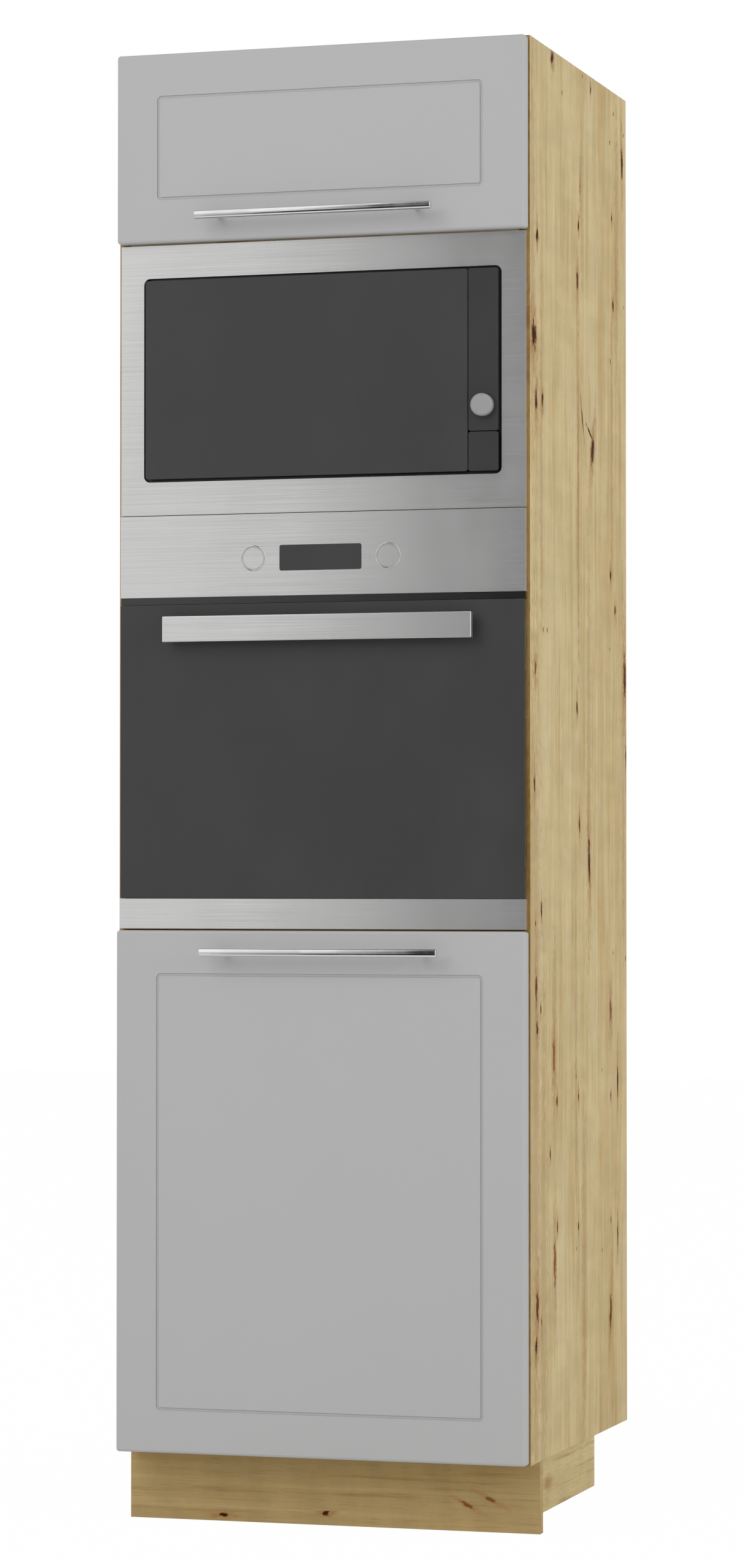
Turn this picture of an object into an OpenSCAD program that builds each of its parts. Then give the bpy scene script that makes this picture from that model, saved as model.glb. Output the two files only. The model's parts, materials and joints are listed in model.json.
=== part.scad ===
// Tall kitchen housing unit with a lift-up flap, a built-in microwave,
// a built-in oven and a lower cupboard.
// Modelled with y = 0 at the front edge of the side panels and +Y to the back,
// then moved so that the origin is the middle of the footprint, on the floor.

/* [Carcass] */
// Width of the unit
unit_w = 600; // [590:5:630]
// Depth of the side panels
carcass_d = 560; // [555:5:600]
// Thickness of the carcass boards
board_t = 16; // [15:0.5:18]
// Thickness of the hardboard back
back_t = 3; // [2.5:0.5:4]
// Height of the plinth
plinth_h = 100; // [80:5:150]
// Distance of the plinth front behind the side panel edges
plinth_setback = 50; // [35:5:80]
// Distance of the plinth side boards inside the unit's sides
plinth_inset = 51; // [40:1:80]
// Depth that the shelves stand back from the hardboard
shelf_vent = 40; // [20:5:60]
// Distance between the shelf pin holes
pin_pitch = 32; // [32:1:40]
// Number of shelf pin holes in a row
pin_count = 9; // [5:2:9]

/* [Fronts] */
// Height of the lower door
lower_door_h = 732; // [700:1:760]
// Height of the flap
flap_h = 267; // [260:1:300]
// Thickness of the doors
door_t = 18; // [18:0.5:20]
// Gap between a closed door and the carcass
door_gap = 2; // [2:0.1:3]
// Gap between a door's side and the unit's side
door_reveal = 2; // [1.5:0.1:3]
// Gap between the flap's top and the unit's top
top_reveal = 1.5; // [1:0.1:3]
// Gap between the lower door and the plinth level
bottom_reveal = 1; // [0.5:0.1:3]
// Gap between a door and the appliance beside it
front_gap = 2.5; // [2:0.1:4]
// Radius of the doors' rounded front edges
edge_r = 4.5; // [2:0.5:6]
// Distance of the routed line from the door's edge
groove_inset = 62; // [50:1:70]
// Width of the routed line
groove_w = 4; // [2:0.5:6]
// Depth of the routed line
groove_depth = 1.5; // [0.5:0.1:3]
// Corner radius of the routed line
groove_r = 5; // [4:0.5:12]

/* [Bar handles] */
// Diameter of the bar
bar_d = 12; // [10:0.5:14]
// Length of the bar
bar_l = 344; // [330:1:400]
// Distance between the two posts
post_spacing = 288; // [256:32:320]
// Diameter of a post
post_d = 9; // [6:0.5:9]
// Distance of the bar's axis from the door
bar_standoff = 29; // [24:1:34]
// Height of the flap's handle above the flap's lower edge
flap_handle_rise = 32.5; // [25:0.5:40]
// Distance of the lower handle below the door's top edge
lower_handle_drop = 30; // [25:0.5:40]
// Shift of the lower handle towards the opening side
lower_handle_shift = 8; // [0:1:20]

/* [Concealed hinges] */
// Distance of the turning line from the door's edge, on its front face
pivot_inset = 6; // [5.9:0.1:6.1]
// Distance of the cup's centre from the door's edge
cup_inset = 22.5; // [22.5:0.1:22.6]
// Outer diameter of the hinge cup
cup_d = 35; // [35:0.1:35.4]
// Wall of the hinge cup
cup_wall = 1; // [0.8:0.1:1]
// Depth of the hinge cup in the door
cup_depth = 12; // [11.8:0.1:12.5]
// Distance of the link's pin from the door's edge
link_pin_inset = 41; // [41:0.1:41.2]
// Distance of the link's pin behind the side panel edges
link_pin_y = 3; // [2.9:0.1:3.2]
// Thickness of the curved link strip
link_t = 1.6; // [1.2:0.1:1.6]
// Width of the curved link
link_w = 8; // [6:0.5:8]
// Height of the lower hinges from the door's ends
lower_hinge_end = 110; // [90:5:140]
// Distance of the flap hinges from the flap's ends
flap_hinge_end = 110; // [90:5:140]

/* [Flap lift] */
// Distance of the arm's pivot behind the flap's turning line
lift_dy = 62; // [58:1:70]
// Distance of the arm's pivot below the flap's turning line
lift_dz = 34; // [30:1:38]
// Distance of the bracket's pin behind the flap
lift_pin_y = 14; // [12:1:18]
// Distance of the bracket's pin below the flap's turning line
lift_pin_z = 84; // [76:1:90]
// Thickness of the spring box
lift_box_t = 14; // [12:1:18]
// Thickness of the lift arm
lift_arm_t = 4; // [3:0.5:5]
// Thickness of the lift link
lift_link_t = 3; // [2:0.5:4]

/* [Oven] */
// Distance of the oven's fascia from the unit's sides
oven_reveal = 4.2; // [4:0.1:6]
// Height of the oven's lower trim
trim_h = 42; // [36:1:48]
// Gap between the lower trim and the door
trim_gap = 0.8; // [0.6:0.1:2]
// Height of the oven door
oven_door_h = 412.5; // [405:0.5:420]
// Height of the ventilation gap over the oven door
vent_h = 10.5; // [8:0.5:14]
// Height of the control panel
panel_h = 115; // [105:1:125]
// Depth of the oven door in front of the carcass
oven_proud = 11; // [10.5:0.5:12]
// Depth of the control panel in front of the carcass
panel_proud = 9; // [7:0.5:10]
// Thickness of the outer door glass
glass_t = 4; // [3:0.5:5]
// Thickness of the door frame's rim behind the glass
rim_t = 4.5; // [3.5:0.5:5]
// Depth of the door frame in the niche
door_body_d = 16.2; // [14:0.1:20]
// Air over the oven body, under the microwave's shelf
oven_top_clear = 8.65; // [5:0.05:15]
// Air between the oven body and the rear rails
oven_back_clear = 4; // [2:0.5:40]
// Sheet thickness of the oven and microwave bodies
sheet_t = 1.2; // [1:0.1:2]
// Distance of the oven cavity from the unit's sides
cavity_side = 60; // [55:1:75]
// Height of the oven cavity
cavity_h = 345; // [320:5:350]
// Depth of the oven cavity
cavity_d = 410; // [380:5:430]
// Corner radius of the oven cavity
cavity_r = 20; // [10:1:30]
// Distance of the oven handle's ends from the fascia's sides
oven_handle_inset = 70.8; // [50:0.2:90]
// Height of the oven handle
oven_handle_h = 36; // [20:1:40]
// Thickness of the oven handle
oven_handle_t = 8; // [6:0.5:10]
// Distance of the oven handle from the glass
oven_handle_gap = 16; // [14:1:30]
// Distance of the oven handle's middle below the door's top
oven_handle_drop = 35.5; // [30:0.5:45]
// Width of the display
display_w = 120; // [100:1:130]
// Height of the display
display_h = 36; // [30:1:45]
// Diameter of the push-in knobs
oven_knob_d = 33; // [28:0.5:36]
// Distance of a push-in knob from the middle
oven_knob_x = 98.5; // [90:0.5:120]
// Clearance round a push-in knob
knob_clear = 0.4; // [0.3:0.05:0.8]
// Travel of a push-in knob
knob_travel = 20; // [10:1:22]
// Radius of the knob shafts
shaft_r = 4; // [3:0.25:5]
// Clearance in the shafts' bearings
run_clear = 0.05; // [0.03:0.01:0.08]
// Diameter of the fan
fan_d = 150; // [120:5:170]

/* [Oven shelf parts] */
// Diameter of the side ladders' rails
rail_d = 5; // [4:0.5:6]
// Distance between two rail levels
rail_pitch = 60; // [50:5:65]
// Number of rail levels
rail_count = 5; // [4:1:5]
// Diameter of the rack's frame wire
rack_frame_d = 6; // [5:0.5:7]
// Diameter of the rack's cross wires
rack_wire_d = 3; // [2:0.5:4]
// Number of the rack's cross wires
rack_wires = 21; // [11:2:25]
// Distance of the rack and the tray from the cavity's back
rack_back_clear = 42; // [30:1:60]
// Depth of the baking tray's dish
tray_dish = 24; // [16:1:30]
// Diameter of the grill element's tube
element_d = 6.5; // [6:0.5:8]

/* [Microwave] */
// Distance of the microwave's frame from the unit's sides
mw_reveal = 4.2; // [4:0.1:6]
// Height of the microwave's frame
mw_frame_h = 381.5; // [376:0.5:390]
// Depth of the frame in front of the carcass
mw_proud = 7; // [5:0.5:8]
// Gap between the microwave's frame and the oven
seam = 1.2; // [1:0.1:2]
// Width of the frame beside its window
mw_frame_side = 34.3; // [30:0.1:40]
// Height of the frame's window
mw_window_h = 288; // [280:1:292]
// Distance of the window above the frame's lower edge
mw_window_z = 46.8; // [40:0.1:50]
// Corner radius of the frame's window
mw_window_r = 9; // [5:0.5:14]
// Gap between the frame and the dark glass front
mw_gap = 4; // [3.5:0.1:5]
// Depth of the glass front in front of the frame
mw_glass_proud = 6; // [4:0.5:7]
// Width of the control column
mw_column_w = 42; // [40:0.5:48]
// Width of the dividing lines between the glass parts
mw_line = 1.3; // [1.2:0.1:2]
// Height of the door release button
mw_button_h = 54; // [45:1:60]
// Travel of the door release button
mw_button_travel = 3.5; // [2:0.5:4]
// Diameter of the microwave's knob
mw_knob_d = 31; // [28:0.5:34]
// Height of the microwave's knob
mw_knob_h = 12; // [8:0.5:16]
// Distance of the knob's axis above the button's top line
mw_knob_rise = 36.5; // [30:0.5:120]
// Air over the microwave body, under the flap's shelf
mw_top_clear = 6.35; // [4:0.05:15]
// Depth of the microwave body
mw_body_d = 390; // [360:5:420]
// Distance of the microwave cavity from the window's sides
mw_cavity_side = 86.5; // [80:0.5:100]
// Height of the microwave cavity
mw_cavity_h = 230; // [210:5:240]
// Depth of the microwave cavity
mw_cavity_d = 330; // [300:5:340]
// Diameter of the glass turntable
turntable_d = 285; // [245:5:290]

/* [Hidden] */
$fn = 48;
eps = 0.01;
seat = 0.3;

// Levels of the fronts, from the floor up
lower_door_z = plinth_h + bottom_reveal;
lower_door_top = lower_door_z + lower_door_h;
trim_z = lower_door_top + front_gap;
oven_door_z = trim_z + trim_h + trim_gap;
vent_z = oven_door_z + oven_door_h;
panel_z = vent_z + vent_h;
mw_z = panel_z + panel_h + seam;
flap_z = mw_z + mw_frame_h + front_gap;
flap_top = flap_z + flap_h;
unit_h = flap_top + top_reveal;

// Shelves lie behind the middles of the gaps
oven_shelf_z = lower_door_top + front_gap / 2 - board_t / 2;
mw_shelf_z = mw_z - seam / 2 - board_t / 2;
flap_shelf_z = flap_z - front_gap / 2 - board_t / 2;
oven_floor = oven_shelf_z + board_t;
mw_floor = mw_shelf_z + board_t;
top_under = unit_h - board_t;
cupboard_floor = plinth_h + board_t;

// Widths that follow the unit's width
oven_w = unit_w - 2 * oven_reveal;
cavity_w = unit_w - 2 * cavity_side;
oven_handle_l = oven_w - 2 * oven_handle_inset;
mw_frame_w = unit_w - 2 * mw_reveal;
mw_window_w = mw_frame_w - 2 * mw_frame_side;
mw_cavity_w = mw_window_w - 2 * mw_cavity_side;

inner_w = unit_w - 2 * board_t;
inner_x = inner_w / 2;
door_w = unit_w - 2 * door_reveal;
door_front = -door_gap - door_t;
shelf_d = carcass_d - shelf_vent;
bar_y = door_front - bar_standoff;
reach = bar_standoff + bar_d / 2 - door_front;
// Moves the front plane so that the whole depth is centred on the origin
front_y = (reach - carcass_d - back_t) / 2;

module unit() {
    translate([0, front_y, 0]) children();
}

// ---------- shared shapes ----------

module rounded_rect(w, h, r) {
    square([w - 2 * r, h], center = true);
    square([w, h - 2 * r], center = true);
    for (x = [-1, 1], z = [-1, 1])
        translate([x * (w / 2 - r), z * (h / 2 - r)]) circle(r);
}

// A shape drawn in the front view, from y0 back by t
module upright(y0, t) {
    translate([0, y0 + t, 0]) rotate([90, 0, 0]) linear_extrude(t) children();
}

// A board between two opposite corners
module board(low, high) {
    translate(low) cube(high - low);
}

// A round rod between two points along X, Y or Z
module rod(d, p, q) {
    v = q - p;
    translate(p)
        rotate(v[0] != 0 ? [0, v[0] > 0 ? 90 : -90, 0] : v[1] != 0 ? [v[1] > 0 ? -90 : 90, 0, 0]
            : [v[2] > 0 ? 0 : 180, 0, 0])
            cylinder(d = d, h = norm(v));
}

// Rounded front edges: rods along the edges and balls in the corners
module soft_slab(w, h, t, r) {
    upright(r, t - r) translate([0, h / 2]) rounded_rect(w, h, r);
    board([-w / 2 + r, 0, r], [w / 2 - r, r + eps, h - r]);
    for (x = [-1, 1]) {
        rod(2 * r, [x * (w / 2 - r), r, r], [x * (w / 2 - r), r, h - r]);
        for (z = [r, h - r]) translate([x * (w / 2 - r), r, z]) sphere(r);
    }
    for (z = [r, h - r]) rod(2 * r, [-w / 2 + r, r, z], [w / 2 - r, r, z]);
}

// The routed line that frames the middle of a door
module groove(w, h) {
    upright(-eps, groove_depth + eps) translate([0, h / 2]) difference() {
        rounded_rect(w - 2 * groove_inset + groove_w, h - 2 * groove_inset + groove_w,
            groove_r + groove_w / 2);
        rounded_rect(w - 2 * groove_inset - groove_w, h - 2 * groove_inset - groove_w,
            groove_r - groove_w / 2);
    }
}

module door_leaf(h) {
    translate([0, door_front, 0]) difference() {
        soft_slab(door_w, h, door_t, edge_r);
        groove(door_w, h);
    }
}

module bar_handle(x, z) {
    chamfer = 0.8;
    translate([x, 0, z]) {
        rod(bar_d, [-bar_l / 2 + chamfer, bar_y, 0], [bar_l / 2 - chamfer, bar_y, 0]);
        for (s = [-1, 1]) {
            translate([s * (bar_l / 2 - chamfer), bar_y, 0]) rotate([0, s * 90, 0])
                cylinder(d1 = bar_d, d2 = bar_d - 2 * chamfer, h = chamfer);
            rod(post_d, [s * post_spacing / 2, bar_y, 0], [s * post_spacing / 2, door_front, 0]);
        }
    }
}

// ---------- concealed hinges ----------
// Drawn with x as the distance from the door's edge, y to the back and
// z along the door's edge, with the hinge's middle at z = 0.

cup_mouth = -door_gap;
cup_ri = cup_d / 2 - cup_wall;
cup_bore_clear = 0.1;
ear_t = 1;
ear_h = 26;
ear_w = 20;
ear_screw_spacing = 45;
ear_screw_d = 3.6;
link_tip_x = 10;
link_tip_y = -7;
link_rise = 6;
link_eye_r = 3.2;
link_pin_r = 1.5;
cheek_t = 1.8;
cheek_gap = 0.3;
arm_back_y = 62;
arm_web_y = 9;
arm_half = link_w / 2 + cheek_gap + cheek_t;
plate_t = 3;
plate_y = [22, 60];
plate_half = 24;
plate_hole_y = 37;
plate_hole_spacing = 32;
plate_hole_d = 5.2;

module cup_bore() {
    rotate([90, 0, 0]) cylinder(r = cup_d / 2 + cup_bore_clear, h = cup_depth + 0.2);
}

module hinge_cup() {
    translate([cup_inset, cup_mouth, 0]) rotate([90, 0, 0]) difference() {
        union() {
            cylinder(d = cup_d, h = cup_depth);
            for (s = [-1, 1]) translate([-ear_w / 2, s > 0 ? cup_d / 2 - 3 : -ear_h, -ear_t])
                cube([ear_w, ear_h - cup_d / 2 + 3, ear_t]);
        }
        translate([0, 0, -ear_t - eps]) cylinder(r = cup_ri, h = cup_depth + ear_t - cup_wall);
        for (s = [-1, 1]) translate([0, s * ear_screw_spacing / 2, -ear_t - eps])
            cylinder(d = ear_screw_d, h = ear_t + 2 * eps);
    }
}

// The link follows an arc from its pin to the tip inside the cup
link_dx = link_tip_x - link_pin_inset;
link_dy = link_tip_y - link_pin_y;
link_chord = norm([link_dx, link_dy]);
link_dir = atan2(link_dy, link_dx);
link_r = (link_chord * link_chord / 4 + link_rise * link_rise) / (2 * link_rise);
link_half_angle = asin(link_chord / 2 / link_r);

// A strip along the arc, from inside the eye's wall to the tip
module link_strip() {
    eye_angle = 2 * asin((link_pin_r + link_eye_r) / 4 / link_r);
    far = 2 * link_r;
    a0 = 90 - link_half_angle;
    a1 = 90 + link_half_angle - eye_angle;
    intersection() {
        difference() {
            circle(link_r + link_t / 2);
            circle(link_r - link_t / 2);
        }
        polygon([[0, 0], far * [cos(a0), sin(a0)], far * [cos(a1), sin(a1)]]);
    }
}

module hinge_link() {
    translate([link_pin_inset, link_pin_y, -link_w / 2]) linear_extrude(link_w) difference() {
        union() {
            circle(link_eye_r);
            rotate(link_dir) translate([link_chord / 2, link_rise - link_r]) link_strip();
        }
        circle(link_pin_r + run_clear);
    }
}

// Arm with two cheeks round the link's eye, and its plate on the board.
// face_x is the distance of the board's face from the door's edge.
module hinge_arm(face_x) {
    difference() {
        union() {
            translate([0, 0, -arm_half]) linear_extrude(2 * arm_half) polygon([
                [link_pin_inset - 4.2, link_pin_y - 4.2], [link_pin_inset + 4.2, link_pin_y - 4.2],
                [link_pin_inset + 4.2, link_pin_y + 6], [link_pin_inset - 3, arm_back_y - 12],
                [link_pin_inset - 12, arm_back_y], [face_x + plate_t, arm_back_y],
                [face_x + plate_t, plate_y[0]], [face_x + plate_t + 8, plate_y[0] - 8]]);
            board([face_x, plate_y[0], -plate_half], [face_x + plate_t, plate_y[1], plate_half]);
        }
        board([face_x + plate_t + 2, link_pin_y - 5, -link_w / 2 - cheek_gap],
            [link_pin_inset + 5, arm_web_y, link_w / 2 + cheek_gap]);
        for (s = [-1, 1]) translate([face_x - eps, plate_hole_y, s * plate_hole_spacing / 2])
            rotate([0, 90, 0]) cylinder(d = plate_hole_d, h = plate_t + 2 * eps);
    }
    translate([link_pin_inset, link_pin_y, -arm_half]) cylinder(r = link_pin_r, h = 2 * arm_half);
}

lower_hinge_zs = [lower_door_z + lower_hinge_end, lower_door_top - lower_hinge_end];
flap_hinge_xs = [-door_w / 2 + flap_hinge_end, door_w / 2 - flap_hinge_end];

module at_lower_hinges() {
    for (z = lower_hinge_zs) translate([-door_w / 2, 0, z]) children();
}

module at_flap_hinges() {
    for (x = flap_hinge_xs) translate([x, 0, flap_top]) rotate([0, 90, 0]) children();
}

// ---------- carcass ----------

pin_row_inset = [50, 60];
pin_row_y = [pin_row_inset[0], shelf_d - pin_row_inset[1]];
pin_d = 5;
pin_hole_depth = 9;
adjust_shelf_z = (cupboard_floor + oven_shelf_z) / 2;
pin_row_z = adjust_shelf_z - (pin_count - 1) / 2 * pin_pitch - pin_d / 2;

// One side panel, drawn for the right-hand side
module side_panel() {
    difference() {
        board([inner_x, 0, plinth_h], [unit_w / 2, carcass_d, unit_h]);
        for (y = pin_row_y, i = [0:pin_count - 1])
            translate([inner_x - eps, y, pin_row_z + i * pin_pitch]) rotate([0, 90, 0])
                cylinder(d = pin_d, h = pin_hole_depth);
    }
}

module side_panel_left() {
    color("burlywood") unit() mirror([1, 0, 0]) side_panel();
}

module side_panel_right() {
    color("burlywood") unit() side_panel();
}

module cross_board(z, y0, y1) {
    board([-inner_x, y0, z], [inner_x, y1, z + board_t]);
}

module top_panel() {
    color("burlywood") unit() cross_board(top_under, 0, carcass_d);
}

module bottom_panel() {
    color("burlywood") unit() cross_board(plinth_h, 0, carcass_d);
}

module oven_shelf() {
    color("burlywood") unit() cross_board(oven_shelf_z, 0, carcass_d);
}

module microwave_shelf() {
    color("burlywood") unit() cross_board(mw_shelf_z, 0, shelf_d);
}

module flap_shelf() {
    color("burlywood") unit() cross_board(flap_shelf_z, 0, carcass_d);
}

back_edge = 3;
bracket_w = 40;
bracket_leg = 45;
bracket_t = 2.5;
bracket_hole_r = 3;
bracket_hole_z = top_under - 28;
bracket_x = inner_x - 60;

// The hardboard closes the two cupboards and leaves the appliances open
module back_panels() {
    low = [plinth_h + back_edge, oven_floor - back_edge];
    high = [flap_shelf_z + back_edge, unit_h - back_edge];
    x1 = unit_w / 2 - back_edge;
    color("tan") unit() difference() {
        for (z = [low, high]) board([-x1, carcass_d, z[0]], [x1, carcass_d + back_t, z[1]]);
        for (s = [-1, 1]) rod(2 * bracket_hole_r, [s * bracket_x, carcass_d - 1, bracket_hole_z],
            [s * bracket_x, carcass_d + back_t + 1, bracket_hole_z]);
    }
}

rear_rail_h = 70;
rear_rail_rise = 90;

module rear_rails() {
    levels = [oven_floor + rear_rail_rise, mw_shelf_z + board_t / 2 - rear_rail_h / 2];
    color("burlywood") unit() for (z = levels)
        board([-inner_x, carcass_d - board_t, z], [inner_x, carcass_d, z + rear_rail_h]);
}

module plinth_front() {
    color("peru") unit() board([-unit_w / 2, plinth_setback, 0],
        [unit_w / 2, plinth_setback + board_t, plinth_h]);
}

module plinth_sides() {
    x1 = unit_w / 2 - plinth_inset;
    color("peru") unit() for (x = [-x1, x1 - board_t])
        board([x, plinth_setback + board_t, 0], [x + board_t, carcass_d + back_t, plinth_h]);
}

module plinth_back() {
    x1 = unit_w / 2 - plinth_inset - board_t;
    color("peru") unit() board([-x1, carcass_d - 2 * board_t, 0], [x1, carcass_d - board_t, plinth_h]);
}

module adjustable_shelf() {
    x1 = inner_x - 1;
    setback = 20;
    color("burlywood") unit()
        board([-x1, setback, adjust_shelf_z], [x1, shelf_d, adjust_shelf_z + board_t]);
}

// Steel pins: a shank in the panel's hole and a head under the shelf
module shelf_pins() {
    shank_d = 4.8;
    head_l = 8;
    color("silver") unit() for (s = [-1, 1], y = pin_row_y) translate([0, y, adjust_shelf_z - pin_d / 2])
        rod(shank_d, [s * (inner_x + pin_hole_depth - 1), 0, 0], [s * (inner_x - head_l), 0, 0]);
}

module wall_brackets() {
    color("silver") unit() for (s = [-1, 1]) translate([s * bracket_x - bracket_w / 2, 0, 0]) difference() {
        union() {
            board([0, carcass_d - bracket_leg, top_under - bracket_t], [bracket_w, carcass_d, top_under]);
            board([0, carcass_d - bracket_t, top_under - bracket_leg], [bracket_w, carcass_d, top_under]);
        }
        rod(2 * bracket_hole_r, [bracket_w / 2, carcass_d - bracket_t - 1, bracket_hole_z],
            [bracket_w / 2, carcass_d + 1, bracket_hole_z]);
    }
}

module hinge_arms() {
    color("silver") unit() {
        at_lower_hinges() hinge_arm(board_t - door_reveal);
        at_flap_hinges() hinge_arm(board_t - top_reveal);
    }
}

// ---------- lower door ----------

module lower_door() {
    color("gainsboro") unit() difference() {
        translate([0, 0, lower_door_z]) door_leaf(lower_door_h);
        at_lower_hinges() translate([cup_inset, cup_mouth + eps, 0]) cup_bore();
    }
}

module lower_door_handle() {
    color("silver") unit() bar_handle(lower_handle_shift, lower_door_top - lower_handle_drop);
}

module lower_hinge_cups() {
    color("silver") unit() at_lower_hinges() hinge_cup();
}

module lower_hinge_links() {
    color("lightgrey") unit() at_lower_hinges() hinge_link();
}

// ---------- flap and its lift ----------

module flap_door() {
    color("gainsboro") unit() difference() {
        translate([0, 0, flap_z]) door_leaf(flap_h);
        at_flap_hinges() translate([cup_inset, cup_mouth + eps, 0]) cup_bore();
    }
}

module flap_handle() {
    color("silver") unit() bar_handle(0, flap_z + flap_handle_rise);
}

module flap_hinge_cups() {
    color("silver") unit() at_flap_hinges() hinge_cup();
}

module flap_hinge_links() {
    color("lightgrey") unit() at_flap_hinges() hinge_link();
}

// The arm, the link and the flap make a parallelogram with the turning line
turn_y = door_front;
turn_z = flap_top - pivot_inset;
lift_p = [turn_y + lift_dy, turn_z - lift_dz];
lift_q = [lift_pin_y - door_gap, turn_z - lift_pin_z];
lift_r = lift_q + [lift_dy, -lift_dz];
lift_arm_pin_r = 4;
lift_link_pin_r = 3;
lift_open_clear = 0.3;
lift_eye_r = 7;
lift_gap = 0.3;
lift_box_d = 150;
lift_box_h = 62;
lift_arm_x = inner_x - lift_box_t - lift_gap - lift_arm_t;
lift_link_x = lift_arm_x - lift_gap - lift_link_t;
lift_ear_t = 2.5;
lift_ear_x = lift_link_x - lift_gap - lift_ear_t;

// A plate drawn in the side view, from x on by t
module side_profile(x, t) {
    translate([x, 0, 0]) rotate([90, 0, 90]) linear_extrude(t) children();
}

// Outline of a flat bar with round ends between two points
module link_outline(p, q, r) {
    v = q - p;
    translate(p) rotate(atan2(v[1], v[0])) translate([0, -0.8 * r]) square([norm(v), 1.6 * r]);
    for (c = [p, q]) translate(c) circle(r);
}

module both_sides() {
    for (s = [0, 1]) mirror([s, 0, 0]) children();
}

module lift_boxes() {
    color("whitesmoke") unit() both_sides() {
        side_profile(inner_x - lift_box_t, lift_box_t)
            translate([lift_p[0] + lift_box_d / 2 - 14, lift_p[1] - lift_box_h / 2 + 16])
                rounded_rect(lift_box_d, lift_box_h, 8);
        side_profile(lift_arm_x + lift_gap / 2, inner_x - lift_box_t - lift_arm_x)
            translate(lift_p) circle(lift_arm_pin_r);
    }
}

module lift_arms() {
    color("silver") unit() both_sides() {
        side_profile(lift_arm_x, lift_arm_t) difference() {
            link_outline(lift_p, lift_r, lift_eye_r);
            translate(lift_p) circle(lift_arm_pin_r + run_clear);
        }
        side_profile(lift_link_x + lift_gap / 2, lift_arm_x - lift_link_x) translate(lift_r)
            circle(lift_link_pin_r);
    }
}

module lift_links() {
    color("lightgrey") unit() both_sides() side_profile(lift_link_x, lift_link_t) difference() {
        link_outline(lift_r, lift_q, lift_eye_r);
        translate(lift_r) circle(lift_link_pin_r + run_clear);
        translate(lift_q) circle(lift_link_pin_r + lift_open_clear);
    }
}

// Plate on the flap's back with an ear that carries the link's pin
module flap_lift_brackets() {
    plate_w = 22;
    plate_h = 56;
    color("silver") unit() both_sides() {
        board([lift_ear_x + lift_ear_t - plate_w, -door_gap, lift_q[1] - plate_h / 2],
            [lift_ear_x + lift_ear_t, 0, lift_q[1] + plate_h / 2]);
        side_profile(lift_ear_x, lift_ear_t) {
            translate(lift_q) circle(lift_eye_r);
            translate([-door_gap, lift_q[1] - lift_eye_r]) square([lift_pin_y, 2 * lift_eye_r]);
        }
        side_profile(lift_ear_x + eps, lift_link_x + lift_link_t - lift_ear_x - lift_gap / 2)
            translate(lift_q) circle(lift_link_pin_r);
    }
}

// ---------- oven ----------

door_glass_y = -oven_proud;
rim_y = door_glass_y + glass_t;
body_y = rim_y + rim_t;
door_back_y = body_y + door_body_d;
oven_door_w = oven_w - 1.5;
frame_y = door_back_y + 2.3;
frame_t = 2;
oven_inner_x = inner_x - 6;
casing_x = oven_inner_x - sheet_t;
cavity_y = frame_y + frame_t;
cavity_z = oven_door_z + 25;
cavity_t = 1.5;
body_side = 22;
body_w = oven_w - 2 * body_side;
body_low = 6;
body_z = oven_door_z + body_low;
body_h = oven_door_h - 2 * body_low - 1;
body_r = 6;
glazing_w = cavity_w;
glazing_low = 20;
glazing_high = 25;
glazing_h = cavity_h - glazing_low - glazing_high;
glazing_z = cavity_z + glazing_low;
glazing_step = 8;
glazing_r = 8;
inner_glass_t = 4;
pane_clear = 0.2;
bearing_y = 58;
bearing_t = 4;
knob_z = panel_z + 52.8;
display_r = 3;
display_t = 6;
fold_t = 1.5;
slot_pitch = casing_x / 11;
slot_half_count = 6;
cavity_back = cavity_y + cavity_d;
fan_z = cavity_z + cavity_h / 2;
oven_turn_y = door_glass_y + 1.5;
oven_turn_z = oven_door_z + 6.2;
hinge_arc_r = 40;
hinge_arc_w = 6;
hinge_arc_t = 4;
hinge_arc_x = cavity_w / 2 + 22;
slot_clear = 1;

module ring(w, h, r, w2, h2, r2, z2) {
    difference() {
        translate([0, h / 2]) rounded_rect(w, h, r);
        translate([0, z2 + h2 / 2]) rounded_rect(w2, h2, r2);
    }
}

casing_y = 2;
casing_back = carcass_d - board_t - oven_back_clear;
casing_top = mw_shelf_z - oven_top_clear;
slot_cut = 4;
slot_drop = 70;
gland_inset = 60;
gland_l = 14;

// Where the mains cable leaves a casing
module cable_gland(d, y, z) {
    rod(d, [casing_x - gland_inset, y - eps, z], [casing_x - gland_inset, y + gland_l, z]);
}

// Folded sheet with an open front, a bearing plate for the knob shafts
// and a cable gland at the back
module oven_casing() {
    in_top = casing_top - sheet_t;
    color("gray") unit() {
        difference() {
            board([-oven_inner_x, casing_y, oven_floor], [oven_inner_x, casing_back, casing_top]);
            board([-casing_x, 0, oven_floor + sheet_t], [casing_x, casing_back - sheet_t, in_top]);
            for (i = [-slot_half_count:slot_half_count])
                translate([i * slot_pitch, casing_back - slot_cut, casing_top - slot_drop])
                    rounded_slot(9, 40, 2 * slot_cut);
        }
        difference() {
            board([-casing_x, bearing_y, panel_z - 4], [casing_x, bearing_y + bearing_t, in_top]);
            for (s = [-1, 1]) rod(2 * (shaft_r + run_clear), [s * oven_knob_x, bearing_y - 1, knob_z],
                [s * oven_knob_x, bearing_y + bearing_t + 1, knob_z]);
        }
        cable_gland(24, casing_back, oven_floor + gland_inset);
    }
}

// A through slot with round ends, its middle at the origin, cut along Y
module rounded_slot(w, h, t) {
    rotate([90, 0, 0]) translate([0, 0, -t]) linear_extrude(2 * t) {
        square([w, h - w], center = true);
        for (s = [-1, 1]) translate([0, s * (h - w) / 2]) circle(w / 2);
    }
}

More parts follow.
